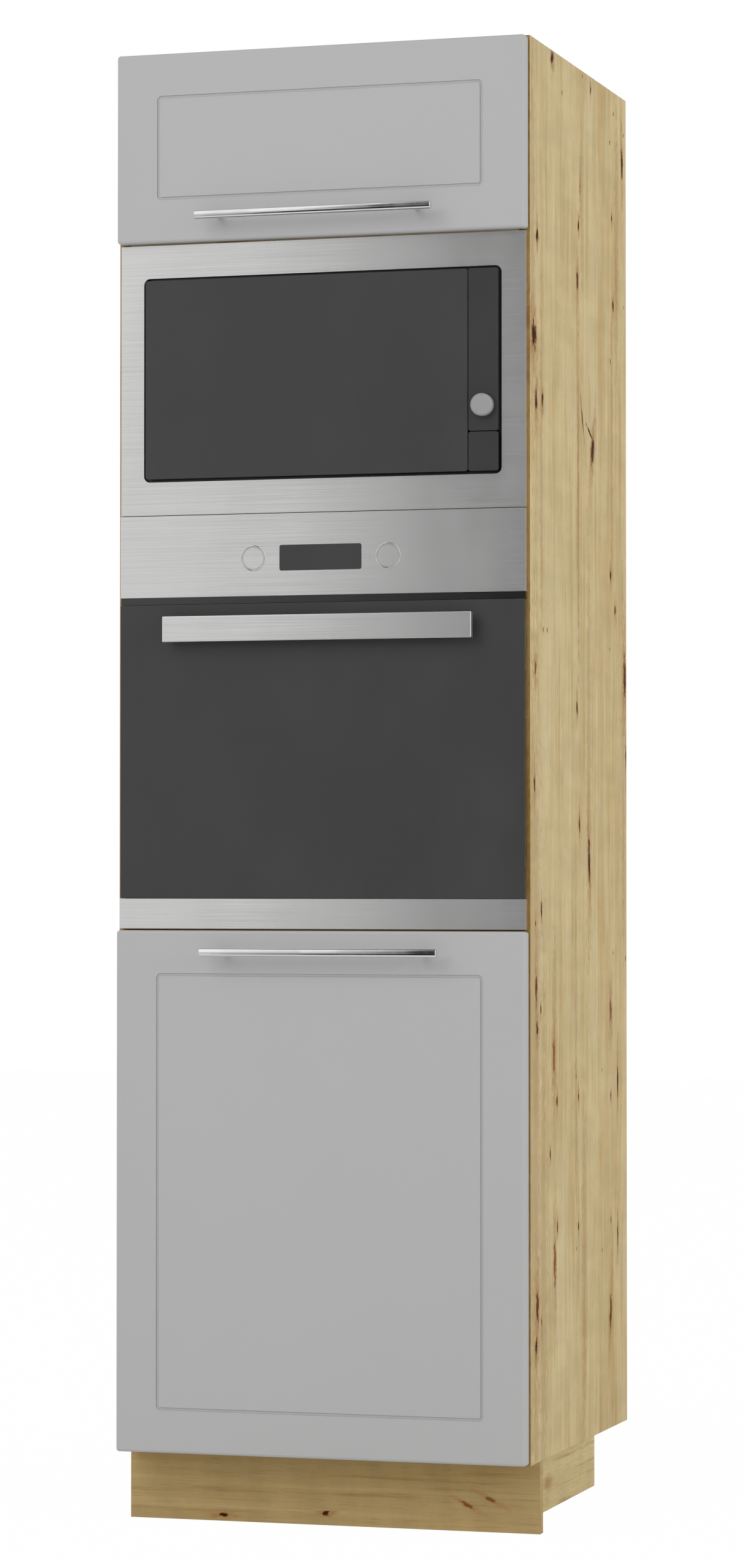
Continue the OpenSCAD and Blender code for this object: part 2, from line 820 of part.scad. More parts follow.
module oven_cavity() {
    color("dimgray") unit() translate([0, 0, cavity_z]) difference() {
        upright(cavity_y, cavity_d + cavity_t) translate([0, cavity_h / 2])
            rounded_rect(cavity_w + 2 * cavity_t, cavity_h + 2 * cavity_t, cavity_r + cavity_t);
        upright(cavity_y - 1, cavity_d + 1) translate([0, cavity_h / 2])
            rounded_rect(cavity_w, cavity_h, cavity_r);
        rod(14, [0, cavity_back - 1, cavity_h / 2], [0, cavity_back + cavity_t + 1, cavity_h / 2]);
    }
}

frame_low = oven_floor + 3;
frame_high = vent_z + 4;

module oven_front_frame() {
    color("black") unit() translate([0, 0, frame_low]) difference() {
        upright(frame_y, frame_t) ring(2 * casing_x, frame_high - frame_low, 1,
            cavity_w, cavity_h, cavity_r, cavity_z - frame_low);
        for (s = [-1, 1]) {
            mid = acos((frame_y + frame_t / 2 - oven_turn_y) / hinge_arc_r);
            translate([s * hinge_arc_x - hinge_arc_t / 2 - slot_clear, frame_y - 1,
                oven_turn_z + hinge_arc_r * sin(mid) - 8 - frame_low])
                cube([hinge_arc_t + 2 * slot_clear, frame_t + 2, 16]);
        }
    }
}

// A shallow tray of sheet with its edges folded back to the carcass
module fascia(w, h, y0, t) {
    difference() {
        board([-w / 2, y0, 0], [w / 2, 0, h]);
        board([-w / 2 + t, y0 + t, t], [w / 2 - t, 1, h - t]);
    }
}

module oven_control_panel() {
    color("lightgrey") unit() translate([0, 0, panel_z]) difference() {
        fascia(oven_w, panel_h, -panel_proud, fold_t);
        upright(-panel_proud - 1, 4) translate([0, knob_z - panel_z])
            rounded_rect(display_w, display_h, display_r);
        for (s = [-1, 1]) translate([s * oven_knob_x, -panel_proud, knob_z - panel_z])
            rod(oven_knob_d + 2 * knob_clear, [0, -1, 0], [0, 2 * fold_t, 0]);
    }
}

display_box = 4;

// Dark window with its circuit box behind, seated on the bearing plate
module oven_display() {
    color("black") unit() translate([0, 0, knob_z]) {
        upright(-panel_proud + seat, display_t)
            rounded_rect(display_w - pane_clear, display_h - pane_clear, display_r);
        board([-display_w / 2 + display_box, -panel_proud + display_t, -display_h / 2 + display_box],
            [display_w / 2 - display_box, bearing_y, display_h / 2 - display_box]);
    }
}

// Angle strip: its closed front hides a row of air slots in its floor
module oven_vent_strip() {
    slots = 24;
    web = 5;
    pitch = (oven_w - 12 * web) / slots;
    h = vent_h - 0.6;
    lip = 2;
    y0 = -panel_proud + lip;
    slot_d = -y0 - lip - 1;
    color("black") unit() translate([0, 0, panel_z - h]) difference() {
        translate([-oven_w / 2 + seat, 0, 0]) rotate([90, 0, 90]) linear_extrude(oven_w - 2 * seat)
            polygon([[y0, 0], [0, 0], [0, lip], [y0 + lip, lip], [y0 + lip, h], [y0, h]]);
        for (i = [0:slots - 1]) translate([(i - slots / 2) * pitch + web / 2, y0 + lip + 0.5, -1])
            cube([pitch - web, slot_d, lip + 2]);
    }
}

module oven_bottom_trim() {
    color("lightgrey") unit() translate([0, 0, trim_z]) fascia(oven_w, trim_h, door_glass_y, fold_t);
}

module oven_door_seal() {
    seal_w = 7;
    color("black") unit() translate([0, 0, cavity_z - seal_w]) upright(frame_y - 2, 2)
        ring(cavity_w + 2 * seal_w, cavity_h + 2 * seal_w, cavity_r + seal_w,
            cavity_w, cavity_h, cavity_r, seal_w);
}

cover_gap = 26;
cover_y = cavity_back - cover_gap;
cover_t = 1.5;
cover_over = 22;
cover_r = fan_d / 2 + cover_over;
cover_slot_l = 34;
spacer_d = 6;

// Round cover with slots in a ring, on four spacers
module oven_fan_cover() {
    color("gray") unit() translate([0, 0, fan_z]) {
        difference() {
            rod(2 * cover_r, [0, cover_y, 0], [0, cover_y + cover_t, 0]);
            for (a = [0:20:340]) rotate([0, a, 0]) translate([(fan_d - cover_slot_l) / 2 - 15, cover_y, 0])
                rotate([0, 90, 0]) rounded_slot(7, cover_slot_l, 2 * cover_t);
            for (a = [0:60:300]) rotate([0, a, 0]) translate([16, cover_y, 0])
                rod(9, [0, -cover_t, 0], [0, 2 * cover_t, 0]);
        }
        for (a = [45:90:315]) rotate([0, a, 0]) translate([cover_r - spacer_d - 2, 0, 0])
            rod(spacer_d, [0, cover_y + cover_t / 3, 0], [0, cavity_back, 0]);
    }
}

fan_shaft_r = 3;
fan_hub_d = 16;
fan_hub_l = 15.2;
fan_plate_t = 1.2;
fan_back = cavity_back - 4.8;
fan_front = fan_back - fan_hub_l;
blade_l = 20;
blade_w = 13.5;
shaft_in_motor = 30.5;

module oven_fan() {
    blades = 10;
    color("silver") unit() translate([0, 0, fan_z]) {
        rod(fan_d, [0, fan_back - fan_plate_t, 0], [0, fan_back, 0]);
        rod(fan_hub_d, [0, fan_front, 0], [0, fan_back, 0]);
        rod(2 * fan_shaft_r, [0, fan_front, 0], [0, cavity_back + cavity_t + shaft_in_motor, 0]);
        for (i = [0:blades - 1]) rotate([0, i * 360 / blades, 0])
            translate([fan_d / 2 - blade_l - 4, fan_back - fan_plate_t - blade_w + eps, 0])
                rotate([0, 25, 0]) cube([blade_l, blade_w, fan_plate_t]);
    }
}

motor_d = 60;
motor_l = 36;
motor_foot_t = 4;
motor_foot_w = 16;
motor_cap_l = 6;

module oven_fan_motor() {
    y0 = cavity_back + cavity_t;
    y1 = y0 + motor_foot_t + motor_l;
    foot_x = motor_d / 2 + 14;
    color("dimgray") unit() translate([0, 0, fan_z]) difference() {
        union() {
            rod(motor_d, [0, y0 + motor_foot_t, 0], [0, y1, 0]);
            rod(motor_d / 2, [0, y1, 0], [0, y1 + motor_cap_l, 0]);
            board([-foot_x, y0, -motor_foot_w / 2], [foot_x, y0 + motor_foot_t, motor_foot_w / 2]);
        }
        rod(2 * (fan_shaft_r + run_clear), [0, y0 - 1, 0], [0, y0 + shaft_in_motor + 1.5, 0]);
    }
}

lamp_x = cavity_w / 2 - 58;
lamp_drop = 74;
lamp_d = 44;

// Glass cap over the oven's lamp on the cavity's back wall, with grips round its edge
module oven_lamp() {
    base_t = 3;
    glass_l = 12;
    glass_d = lamp_d - 6;
    tip_d = glass_d - 6;
    color("lightcyan") unit() translate([-lamp_x, cavity_back, cavity_z + cavity_h - lamp_drop])
        rotate([90, 0, 0]) {
            cylinder(d = lamp_d, h = base_t);
            translate([0, 0, base_t]) cylinder(d1 = glass_d, d2 = tip_d, h = glass_l);
            translate([0, 0, base_t + glass_l]) cylinder(d1 = tip_d, d2 = tip_d - 12, h = 3);
            for (a = [0:30:330]) rotate([0, 0, a]) translate([glass_d / 2 - 0.5, -1, base_t - 1])
                cube([3, 2, 3]);
        }
}

element_side = 95;
element_end = 50;
element_drop = 24;

// A tube that runs to the front and back in loops, with half-round bends
module grill_element() {
    runs = 6;
    pitch = (cavity_w - 2 * element_side) / (runs - 1);
    y_front = cavity_y + element_end + pitch / 2;
    y_rear = cavity_back - element_end - pitch / 2;
    x0 = -(runs - 1) / 2 * pitch;
    color("dimgray") unit() translate([0, 0, cavity_z + cavity_h - element_drop]) {
        for (i = [0:runs - 1]) rod(element_d, [x0 + i * pitch, y_front, 0],
            [x0 + i * pitch, i == 0 || i == runs - 1 ? cavity_back : y_rear, 0]);
        for (i = [0:runs - 2]) translate([x0 + (i + 0.5) * pitch, i % 2 == 0 ? y_front : y_rear, 0])
            rotate([0, 0, i % 2 == 0 ? 180 : 0]) rotate_extrude(angle = 180, $fn = 64)
                translate([pitch / 2, 0]) circle(d = element_d, $fn = 24);
    }
}

ladder_x = cavity_w / 2 - 8;
post_wire_d = 4;
post_x = ladder_x + (rail_d + post_wire_d) / 2 - 0.5;
ladder_front = 14;
ladder_over = 2;
ladder_y = [cavity_y + ladder_front, cavity_back - rack_back_clear + ladder_over];
ladder_post_inset = [26, 30];
ladder_post_y = [ladder_y[0] + ladder_post_inset[0], ladder_y[1] - ladder_post_inset[1]];
rail_z0 = cavity_z + 42;

module rack_ladders() {
    color("silver") unit() for (s = [-1, 1]) {
        for (i = [0:rail_count - 1]) rod(rail_d, [s * ladder_x, ladder_y[0], rail_z0 + i * rail_pitch],
            [s * ladder_x, ladder_y[1], rail_z0 + i * rail_pitch]);
        for (y = ladder_post_y) {
            rod(post_wire_d, [s * post_x, y, rail_z0 - 14],
                [s * post_x, y, rail_z0 + (rail_count - 1) * rail_pitch + 12]);
            for (i = [0, rail_count - 1]) rod(rail_d, [s * post_x, y, rail_z0 + i * rail_pitch - 8],
                [s * cavity_w / 2, y, rail_z0 + i * rail_pitch - 8]);
        }
    }
}

rack_x = ladder_x - 2;
rack_y = ladder_y[0] + 2 * ladder_over;
rack_depth = cavity_back - rack_back_clear - rack_y;
rack_level = 3;
tray_level = 1;
rack_bend_r = 14;

// Wire shelf with a bent frame, which rests on a pair of rails
module oven_rack() {
    x1 = rack_x - rack_bend_r;
    y0 = rack_y + rack_bend_r;
    y1 = rack_y + rack_depth - rack_bend_r;
    z = rail_z0 + (rack_level - 1) * rail_pitch + rail_d / 2 + rack_frame_d / 2 + seat / 3;
    color("silver") unit() translate([0, 0, z]) {
        for (s = [-1, 1]) rod(rack_frame_d, [s * rack_x, y0, 0], [s * rack_x, y1, 0]);
        for (y = [rack_y, rack_y + rack_depth]) rod(rack_frame_d, [-x1, y, 0], [x1, y, 0]);
        for (a = [0:90:270])
            translate([a == 0 || a == 270 ? x1 : -x1, a < 180 ? y1 : y0, 0]) rotate([0, 0, a])
                rotate_extrude(angle = 90) translate([rack_bend_r, 0]) circle(d = rack_frame_d);
        for (i = [1:rack_wires]) rod(rack_wire_d, [-rack_x + 2 * rack_x * i / (rack_wires + 1), rack_y, 0],
            [-rack_x + 2 * rack_x * i / (rack_wires + 1), rack_y + rack_depth, 0]);
        rod(rack_frame_d - 1, [-rack_x, rack_y + rack_depth / 2, -1], [rack_x, rack_y + rack_depth / 2, -1]);
    }
}

// Pressed tray with a flat rim on the rails
module baking_tray() {
    rim_t = 1.2;
    rim_w = 18;
    wall = 1.2;
    z = rail_z0 + (tray_level - 1) * rail_pitch + rail_d / 2 + seat / 3;
    w = 2 * ladder_x;
    color("dimgray") unit() translate([0, rack_y + rack_depth / 2, z]) difference() {
        union() {
            linear_extrude(rim_t) rounded_rect(w, rack_depth, 14);
            translate([0, 0, -tray_dish]) linear_extrude(tray_dish + eps)
                rounded_rect(w - 2 * rim_w, rack_depth - 2 * rim_w, 16);
        }
        translate([0, 0, -tray_dish + wall]) linear_extrude(tray_dish + rim_t)
            rounded_rect(w - 2 * rim_w - 2 * wall, rack_depth - 2 * rim_w - 2 * wall, 15);
    }
}

module oven_door_glass() {
    color("black") unit() translate([0, 0, oven_door_z]) upright(door_glass_y, glass_t)
        translate([0, oven_door_h / 2]) rounded_rect(oven_door_w, oven_door_h, 1.5);
}

// Rim behind the outer glass and a deeper frame that carries the inner glass
module oven_door_frame() {
    color("gray") unit() difference() {
        union() {
            translate([0, 0, oven_door_z + 0.5]) upright(rim_y, rim_t) translate([0, oven_door_h / 2 - 0.5])
                rounded_rect(oven_door_w - 1, oven_door_h - 1, 1.5);
            translate([0, 0, body_z]) upright(body_y, door_body_d) translate([0, body_h / 2])
                rounded_rect(body_w, body_h, body_r);
        }
        translate([0, 0, glazing_z]) upright(rim_y - 1, rim_t + door_body_d + 2)
            translate([0, glazing_h / 2]) rounded_rect(glazing_w, glazing_h, glazing_r);
        translate([0, 0, glazing_z - glazing_step]) upright(door_back_y - inner_glass_t, inner_glass_t + 1)
            translate([0, glazing_h / 2 + glazing_step])
                rounded_rect(glazing_w + 2 * glazing_step, glazing_h + 2 * glazing_step, glazing_r);
    }
}

module oven_inner_glass() {
    grow = 2 * (glazing_step - pane_clear);
    color("black") unit() translate([0, 0, glazing_z - glazing_step])
        upright(door_back_y - inner_glass_t, inner_glass_t) translate([0, glazing_h / 2 + glazing_step])
            rounded_rect(glazing_w + grow, glazing_h + grow, glazing_r);
}

oven_handle_y = door_glass_y - oven_handle_gap - oven_handle_t;
oven_handle_z = oven_door_z + oven_door_h - oven_handle_drop;

// Flat bar on two short posts
module oven_handle() {
    foot_x = oven_handle_l / 2 - 30;
    foot_w = 14;
    foot_inset = 8;
    color("lightgrey") unit() translate([0, 0, oven_handle_z - oven_handle_h / 2]) {
        translate([0, oven_handle_y, 0]) soft_slab(oven_handle_l, oven_handle_h, oven_handle_t, 1.5);
        for (s = [-1, 1]) board([s * foot_x - foot_w / 2, oven_handle_y + oven_handle_t - eps, foot_inset],
            [s * foot_x + foot_w / 2, door_glass_y, oven_handle_h - foot_inset]);
    }
}

// Curved arms, concentric with the door's turning line, that slide in the frame's slots
module oven_door_hinges() {
    start = -41;
    end = 62;
    color("silver") unit() both_sides() difference() {
        translate([hinge_arc_x - hinge_arc_t / 2, oven_turn_y, oven_turn_z]) rotate([90, 0, 90])
            rotate([0, 0, start]) rotate_extrude(angle = end - start, $fn = 96)
                translate([hinge_arc_r - hinge_arc_w / 2, 0]) square([hinge_arc_w, hinge_arc_t]);
        board([0, -60, 0], [unit_w, door_back_y, unit_h]);
    }
}

cap_l = 12;
stem_d = 16;
shaft_front = 2;
stem_hold = 8;
// The stem still holds on the shaft when the knob is out
stem_back = shaft_front + knob_travel + stem_hold;
shaft_back = bearing_y + bearing_t + 4;

module knob_shaft(s) {
    color("silver") unit() translate([s * oven_knob_x, 0, knob_z])
        rod(2 * shaft_r, [0, shaft_front, 0], [0, shaft_back, 0]);
}

// Flush cap with a stem that slides on the shaft
module push_knob(s) {
    color("lightgrey") unit() translate([s * oven_knob_x, 0, knob_z]) difference() {
        union() {
            rod(oven_knob_d, [0, -panel_proud, 0], [0, -panel_proud + cap_l, 0]);
            rod(stem_d, [0, -panel_proud + cap_l - eps, 0], [0, stem_back, 0]);
        }
        rod(2 * (shaft_r + run_clear), [0, shaft_front - 1, 0], [0, stem_back + 1, 0]);
        rotate_extrude_ring(oven_knob_d / 2 - 1.2, -panel_proud);
    }
}

// A fine ring line near the edge of a knob's face
module rotate_extrude_ring(r, y) {
    translate([0, y, 0]) rotate([-90, 0, 0]) rotate_extrude($fn = 64)
        translate([r - 0.25, -eps]) square([0.5, 0.4 + eps]);
}

module left_knob_shaft() {
    knob_shaft(-1);
}

module left_knob() {
    push_knob(-1);
}

module right_knob_shaft() {
    knob_shaft(1);
}

module right_knob() {
    push_knob(1);
}

// ---------- microwave ----------

window_z = mw_z + mw_window_z;
front_glass_y = -mw_proud - mw_glass_proud;
plate_front_y = -1;
plate_back_y = 1;
glass_w = mw_window_w - 2 * mw_gap;
glass_h = mw_window_h - 2 * mw_gap;
glass_z = window_z + mw_gap;
mw_door_w = glass_w - mw_column_w - mw_line;
mw_door_x = -glass_w / 2 + mw_door_w / 2;
mw_cavity_x = mw_door_x + 10;
mw_cavity_z = window_z + (mw_window_h - mw_cavity_h) / 2;
mw_cavity_t = 1.2;
mw_knob_x = glass_w / 2 - mw_column_w / 2;
mw_knob_z = glass_z + mw_button_h + mw_knob_rise;
mw_shaft_r = 3;
mw_cavity_back = plate_back_y + mw_cavity_d;
turntable_z = mw_cavity_z + 16;
drive_r = 8;
drive_boss_h = 14;
button_stem_d = 6;
// The button keeps its travel and some air before the front plate
button_t = plate_front_y - front_glass_y - mw_button_travel - 1.5;
mw_cavity_mid_y = plate_back_y + mw_cavity_d / 2;
mw_cavity_r = 8;
mw_plate_over = 8;
mw_body_back = plate_back_y + mw_body_d;

module microwave_casing() {
    top = flap_shelf_z - mw_top_clear;
    color("gray") unit() {
        difference() {
            board([-oven_inner_x, plate_back_y, mw_floor], [oven_inner_x, mw_body_back, top]);
            board([-casing_x, 0, mw_floor + sheet_t], [casing_x, mw_body_back - sheet_t, top - sheet_t]);
            for (i = [-slot_half_count:slot_half_count])
                translate([i * slot_pitch, mw_body_back - slot_cut, top - slot_drop])
                    rounded_slot(8, 36, 2 * slot_cut);
        }
        cable_gland(20, mw_body_back, mw_floor + gland_inset);
    }
}

// Cavity with its front plate, which also backs the door and the controls
module microwave_cavity() {
    over = 2 * mw_cavity_t;
    button_z = glass_z + mw_button_h / 2;
    color("whitesmoke") unit() difference() {
        union() {
            translate([0, 0, window_z - mw_plate_over]) upright(plate_front_y, plate_back_y - plate_front_y)
                translate([0, mw_window_h / 2 + mw_plate_over])
                    rounded_rect(2 * oven_inner_x, mw_window_h + 2 * mw_plate_over, 6);
            translate([mw_cavity_x, 0, mw_cavity_z]) upright(0, mw_cavity_back + mw_cavity_t)
                translate([0, mw_cavity_h / 2])
                    rounded_rect(mw_cavity_w + over, mw_cavity_h + over, mw_cavity_r + mw_cavity_t);
            translate([mw_cavity_x, mw_cavity_mid_y, mw_cavity_z - drive_boss_h])
                cylinder(r = drive_r + 6, h = drive_boss_h);
        }
        translate([mw_cavity_x, 0, mw_cavity_z]) upright(-2, mw_cavity_back + 2)
            translate([0, mw_cavity_h / 2]) rounded_rect(mw_cavity_w, mw_cavity_h, mw_cavity_r);
        translate([mw_cavity_x, mw_cavity_mid_y, mw_cavity_z - drive_boss_h - 1])
            cylinder(r = drive_r + run_clear, h = drive_boss_h + 6);
        translate([mw_knob_x, 0, button_z]) rod(button_stem_d + 0.2, [0, -3, 0], [0, 3, 0]);
    }
}

module microwave_frame() {
    color("lightgrey") unit() translate([0, 0, mw_z]) difference() {
        fascia(mw_frame_w, mw_frame_h, -mw_proud, fold_t);
        upright(-mw_proud - 1, 4) translate([0, mw_window_z + mw_window_h / 2])
            rounded_rect(mw_window_w, mw_window_h, mw_window_r);
    }
}

column_r = 3;

module microwave_control_panel() {
    h = glass_h - mw_button_h - mw_line;
    color("black") unit() difference() {
        translate([mw_knob_x, 0, glass_z + glass_h - h]) upright(front_glass_y, plate_front_y - front_glass_y)
            translate([0, h / 2]) rounded_rect(mw_column_w, h, column_r);
        rod(2 * (mw_shaft_r + run_clear), [mw_knob_x, front_glass_y - 1, mw_knob_z],
            [mw_knob_x, plate_front_y + 1, mw_knob_z]);
    }
}

// Glass front with a shallow frame behind it and a window onto the cavity
module microwave_door() {
    frame_in = 5;
    door_r = 4;
    window_in = 15;
    glass_back = front_glass_y + glass_t;
    frame_d = plate_front_y - seat - glass_back;
    color("black") unit() difference() {
        union() {
            translate([mw_door_x, 0, glass_z]) upright(front_glass_y, glass_t)
                translate([0, glass_h / 2]) rounded_rect(mw_door_w, glass_h, door_r);
            translate([mw_door_x, 0, glass_z + frame_in]) upright(glass_back, frame_d)
                translate([0, glass_h / 2 - frame_in])
                    rounded_rect(mw_door_w - 2 * frame_in, glass_h - 2 * frame_in, door_r);
        }
        translate([mw_cavity_x, 0, mw_cavity_z]) upright(glass_back, 20) translate([0, mw_cavity_h / 2])
            rounded_rect(mw_cavity_w - 2 * window_in, mw_cavity_h - 2 * window_in, mw_cavity_r);
    }
}

module microwave_knob() {
    bevel = 2;
    color("silver") unit() translate([mw_knob_x, 0, mw_knob_z]) {
        y0 = front_glass_y - seat;
        rod(mw_knob_d, [0, y0, 0], [0, y0 - mw_knob_h + bevel, 0]);
        translate([0, y0 - mw_knob_h + bevel, 0]) rotate([90, 0, 0])
            cylinder(d1 = mw_knob_d, d2 = mw_knob_d - 2 * bevel, h = bevel);
        rod(2 * mw_shaft_r, [0, y0 - eps, 0], [0, plate_front_y - seat, 0]);
    }
}

module door_release_button() {
    z = glass_z + mw_button_h / 2;
    y1 = front_glass_y + button_t;
    color("black") unit() {
        translate([mw_knob_x, 0, glass_z]) upright(front_glass_y, button_t)
            translate([0, mw_button_h / 2]) rounded_rect(mw_column_w, mw_button_h, column_r);
        rod(button_stem_d, [mw_knob_x, y1 - eps, z], [mw_knob_x, plate_back_y + 8, z]);
    }
}

turntable_rim_w = 12;
turntable_rim_h = 8;
turntable_t = 5;
hub_below = 10;

// Glass plate with a raised rim on its drive hub
module turntable() {
    r = turntable_d / 2;
    flat_r = r - turntable_rim_w;
    color("lightcyan") unit() translate([mw_cavity_x, mw_cavity_mid_y, 0]) {
        translate([0, 0, turntable_z]) rotate_extrude($fn = 96) polygon([[0, 0], [flat_r, 0],
            [r, turntable_rim_h], [r - turntable_rim_w / 4, turntable_rim_h + 1],
            [flat_r - 2, turntable_t], [0, turntable_t]]);
        translate([0, 0, mw_cavity_z - hub_below])
            cylinder(r = drive_r, h = turntable_z - mw_cavity_z + hub_below + eps);
    }
}

side_panel_left();
side_panel_right();
top_panel();
bottom_panel();
oven_shelf();
microwave_shelf();
flap_shelf();
back_panels();
rear_rails();
plinth_front();
plinth_sides();
plinth_back();
adjustable_shelf();
shelf_pins();
wall_brackets();
hinge_arms();
lift_boxes();
lift_arms();
lift_links();
lower_door();
lower_door_handle();
lower_hinge_cups();
lower_hinge_links();
flap_door();
flap_handle();
flap_hinge_cups();
flap_hinge_links();
flap_lift_brackets();
oven_casing();
oven_cavity();
oven_front_frame();
oven_control_panel();
oven_display();
oven_vent_strip();
oven_bottom_trim();
oven_door_seal();
oven_fan_cover();
oven_fan();
oven_fan_motor();
oven_lamp();
grill_element();
rack_ladders();
oven_rack();
baking_tray();
oven_door_glass();
oven_door_frame();
oven_inner_glass();
oven_handle();
oven_door_hinges();
left_knob_shaft();
left_knob();
right_knob_shaft();
right_knob();
microwave_casing();
microwave_cavity();
microwave_frame();
microwave_control_panel();
microwave_door();
microwave_knob();
door_release_button();
turntable();
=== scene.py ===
"""Looks of the tall oven housing unit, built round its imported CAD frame.

Lengths are in metres in the row frame: x = 0 is the unit's middle, z = 0 the floor,
and the front of the carcass lies at y = FRONT.
"""

import json
import math

import bmesh
import bpy
from mathutils import Matrix, Vector


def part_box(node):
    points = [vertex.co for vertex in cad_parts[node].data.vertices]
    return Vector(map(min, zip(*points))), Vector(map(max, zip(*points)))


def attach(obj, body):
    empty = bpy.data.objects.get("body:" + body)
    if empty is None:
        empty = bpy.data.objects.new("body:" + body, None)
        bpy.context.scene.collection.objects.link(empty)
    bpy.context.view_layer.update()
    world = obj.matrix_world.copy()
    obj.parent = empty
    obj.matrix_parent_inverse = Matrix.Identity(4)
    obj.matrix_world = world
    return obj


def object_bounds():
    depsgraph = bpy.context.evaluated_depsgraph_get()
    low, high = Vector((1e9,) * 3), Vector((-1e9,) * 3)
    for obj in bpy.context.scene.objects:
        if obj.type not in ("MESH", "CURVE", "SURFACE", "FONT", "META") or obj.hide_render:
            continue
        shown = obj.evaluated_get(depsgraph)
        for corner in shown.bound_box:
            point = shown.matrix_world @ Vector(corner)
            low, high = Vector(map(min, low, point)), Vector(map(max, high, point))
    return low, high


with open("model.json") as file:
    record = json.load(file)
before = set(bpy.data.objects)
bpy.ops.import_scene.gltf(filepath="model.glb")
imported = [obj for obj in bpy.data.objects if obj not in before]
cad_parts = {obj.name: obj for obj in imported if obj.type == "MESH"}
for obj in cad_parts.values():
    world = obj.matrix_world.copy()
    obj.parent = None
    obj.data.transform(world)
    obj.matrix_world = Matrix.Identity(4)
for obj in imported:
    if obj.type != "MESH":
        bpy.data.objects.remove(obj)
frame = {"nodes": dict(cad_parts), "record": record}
cad_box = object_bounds()

NODES = frame["nodes"]
MM = 0.001

# Places taken from the CAD frame
SIDE_LOW, SIDE_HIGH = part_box("side_panel_right")
FRONT = SIDE_LOW.y
MIDDLE = Vector((0, (cad_box[0].y + cad_box[1].y) / 2, SIDE_HIGH.z / 2))


def rgb(red, green, blue):
    """The linear colour that shows as these 0-255 screen values."""
    def linear(value):
        value /= 255
        return value / 12.92 if value <= 0.04045 else ((value + 0.055) / 1.055) ** 2.4
    return (linear(red), linear(green), linear(blue), 1)


def local(x, y, z):
    """A point in millimetres, measured back from the carcass front, in the row frame."""
    return Vector((x * MM, FRONT + y * MM, z * MM))


def box_mm(node):
    """The low and high corners of a CAD node's box, in millimetres of the local frame."""
    return [(corner - Vector((0, FRONT, 0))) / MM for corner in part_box(node)]


# ---------- node tree helpers ----------

def put(tree, kind, values=None, **settings):
    """A new node, with settings on the node and values or links on its inputs."""
    made = tree.nodes.new(kind)
    for key, value in settings.items():
        setattr(made, key, value)
    for key, value in (values or {}).items():
        feed(tree, value, made.inputs[key])
    return made


def feed(tree, value, socket):
    """Links an output to a socket, or sets the socket's value."""
    if isinstance(value, bpy.types.NodeSocket):
        tree.links.new(value, socket)
    else:
        socket.default_value = value


def maths(tree, operation, *values):
    """The result of a Math node on values or links."""
    return put(tree, "ShaderNodeMath", dict(enumerate(values)), operation=operation).outputs[0]


def vector_maths(tree, operation, *values):
    """The result of a Vector Math node: a number for a length or a dot product."""
    made = put(tree, "ShaderNodeVectorMath", dict(enumerate(values)), operation=operation)
    return made.outputs["Value" if operation in ("LENGTH", "DOT_PRODUCT") else "Vector"]


def ramp(tree, value, low, high, to_low=0.0, to_high=1.0):
    """Turns low..high into to_low..to_high with soft ends."""
    made = put(tree, "ShaderNodeMapRange", interpolation_type="SMOOTHSTEP")
    for index, each in enumerate((value, low, high, to_low, to_high)):
        feed(tree, each, made.inputs[index])
    return made.outputs[0]


def tint(tree, factor, first, second, blend="MIX"):
    """Mixes two colours: factor 0 gives the first and 1 the second."""
    made = put(tree, "ShaderNodeMix", data_type="RGBA", blend_type=blend)
    for index, each in ((0, factor), (6, first), (7, second)):
        feed(tree, each, made.inputs[index])
    return made.outputs[2]


def noise(tree, place, scale, detail=2.0, roughness=0.5):
    """Noise of about 0..1 with its own scale on each axis."""
    stretched = vector_maths(tree, "MULTIPLY", place, scale)
    values = {"Vector": stretched, "Scale": 1.0, "Detail": detail, "Roughness": roughness}
    return put(tree, "ShaderNodeTexNoise", values).outputs[0]


def blend_levels(tree, factor, first, second):
    """Mixes two numbers: factor 0 gives the first and 1 the second."""
    return put(tree, "ShaderNodeMix", {0: factor, 2: first, 3: second}, data_type="FLOAT").outputs[0]


def new_group(name, inputs, outputs):
    """An empty shader group. inputs and outputs are (name, kind) or (name, kind, default)."""
    group = bpy.data.node_groups.new(name, "ShaderNodeTree")
    for way, sockets in (("INPUT", inputs), ("OUTPUT", outputs)):
        for label, kind, *default in sockets:
            kind = "NodeSocket" + kind
            socket = group.interface.new_socket(name=label, in_out=way, socket_type=kind)
            if default:
                socket.default_value = default[0]
    given = group.nodes.new("NodeGroupInput").outputs
    out = group.nodes.new("NodeGroupOutput").inputs
    return group, given, out


def use(tree, group, **values):
    """Places a shader group in a tree. A space in a socket's name is written as _ here."""
    made = put(tree, "ShaderNodeGroup", node_tree=group)
    for key, value in values.items():
        feed(tree, value, made.inputs[key.replace("_", " ")])
    return made.outputs


def place_of(tree):
    """Coordinates that stay with the piece, in metres."""
    return put(tree, "ShaderNodeTexCoord").outputs["Object"]


# ---------- shared effects ----------

def make_soft_edges():
    """Rounds the shading of an edge, and marks the edge for lightening: partly rubbed wear, partly a
    painted highlight.
    """
    group, given, out = new_group(
        "soft_edges",
        [("Radius", "Float", 0.0008), ("Place", "Vector")],
        [("Normal", "Vector"), ("Rubbed", "Float")])
    rounded = put(group, "ShaderNodeBevel", {"Radius": given["Radius"]}, samples=4).outputs[0]
    flat = put(group, "ShaderNodeNewGeometry").outputs["True Normal"]
    bend = maths(group, "SUBTRACT", 1.0, vector_maths(group, "DOT_PRODUCT", rounded, flat))
    patchy = noise(group, given["Place"], (60, 60, 60), 4)
    # Mask for paler edges: partly patchy rubbed wear, partly a painted highlight on the edges
    worn_and_highlit = maths(group, "MULTIPLY", ramp(group, bend, 0.01, 0.2), ramp(group, patchy, 0.35, 0.65))
    feed(group, rounded, out["Normal"])
    feed(group, worn_and_highlit, out["Rubbed"])
    return group


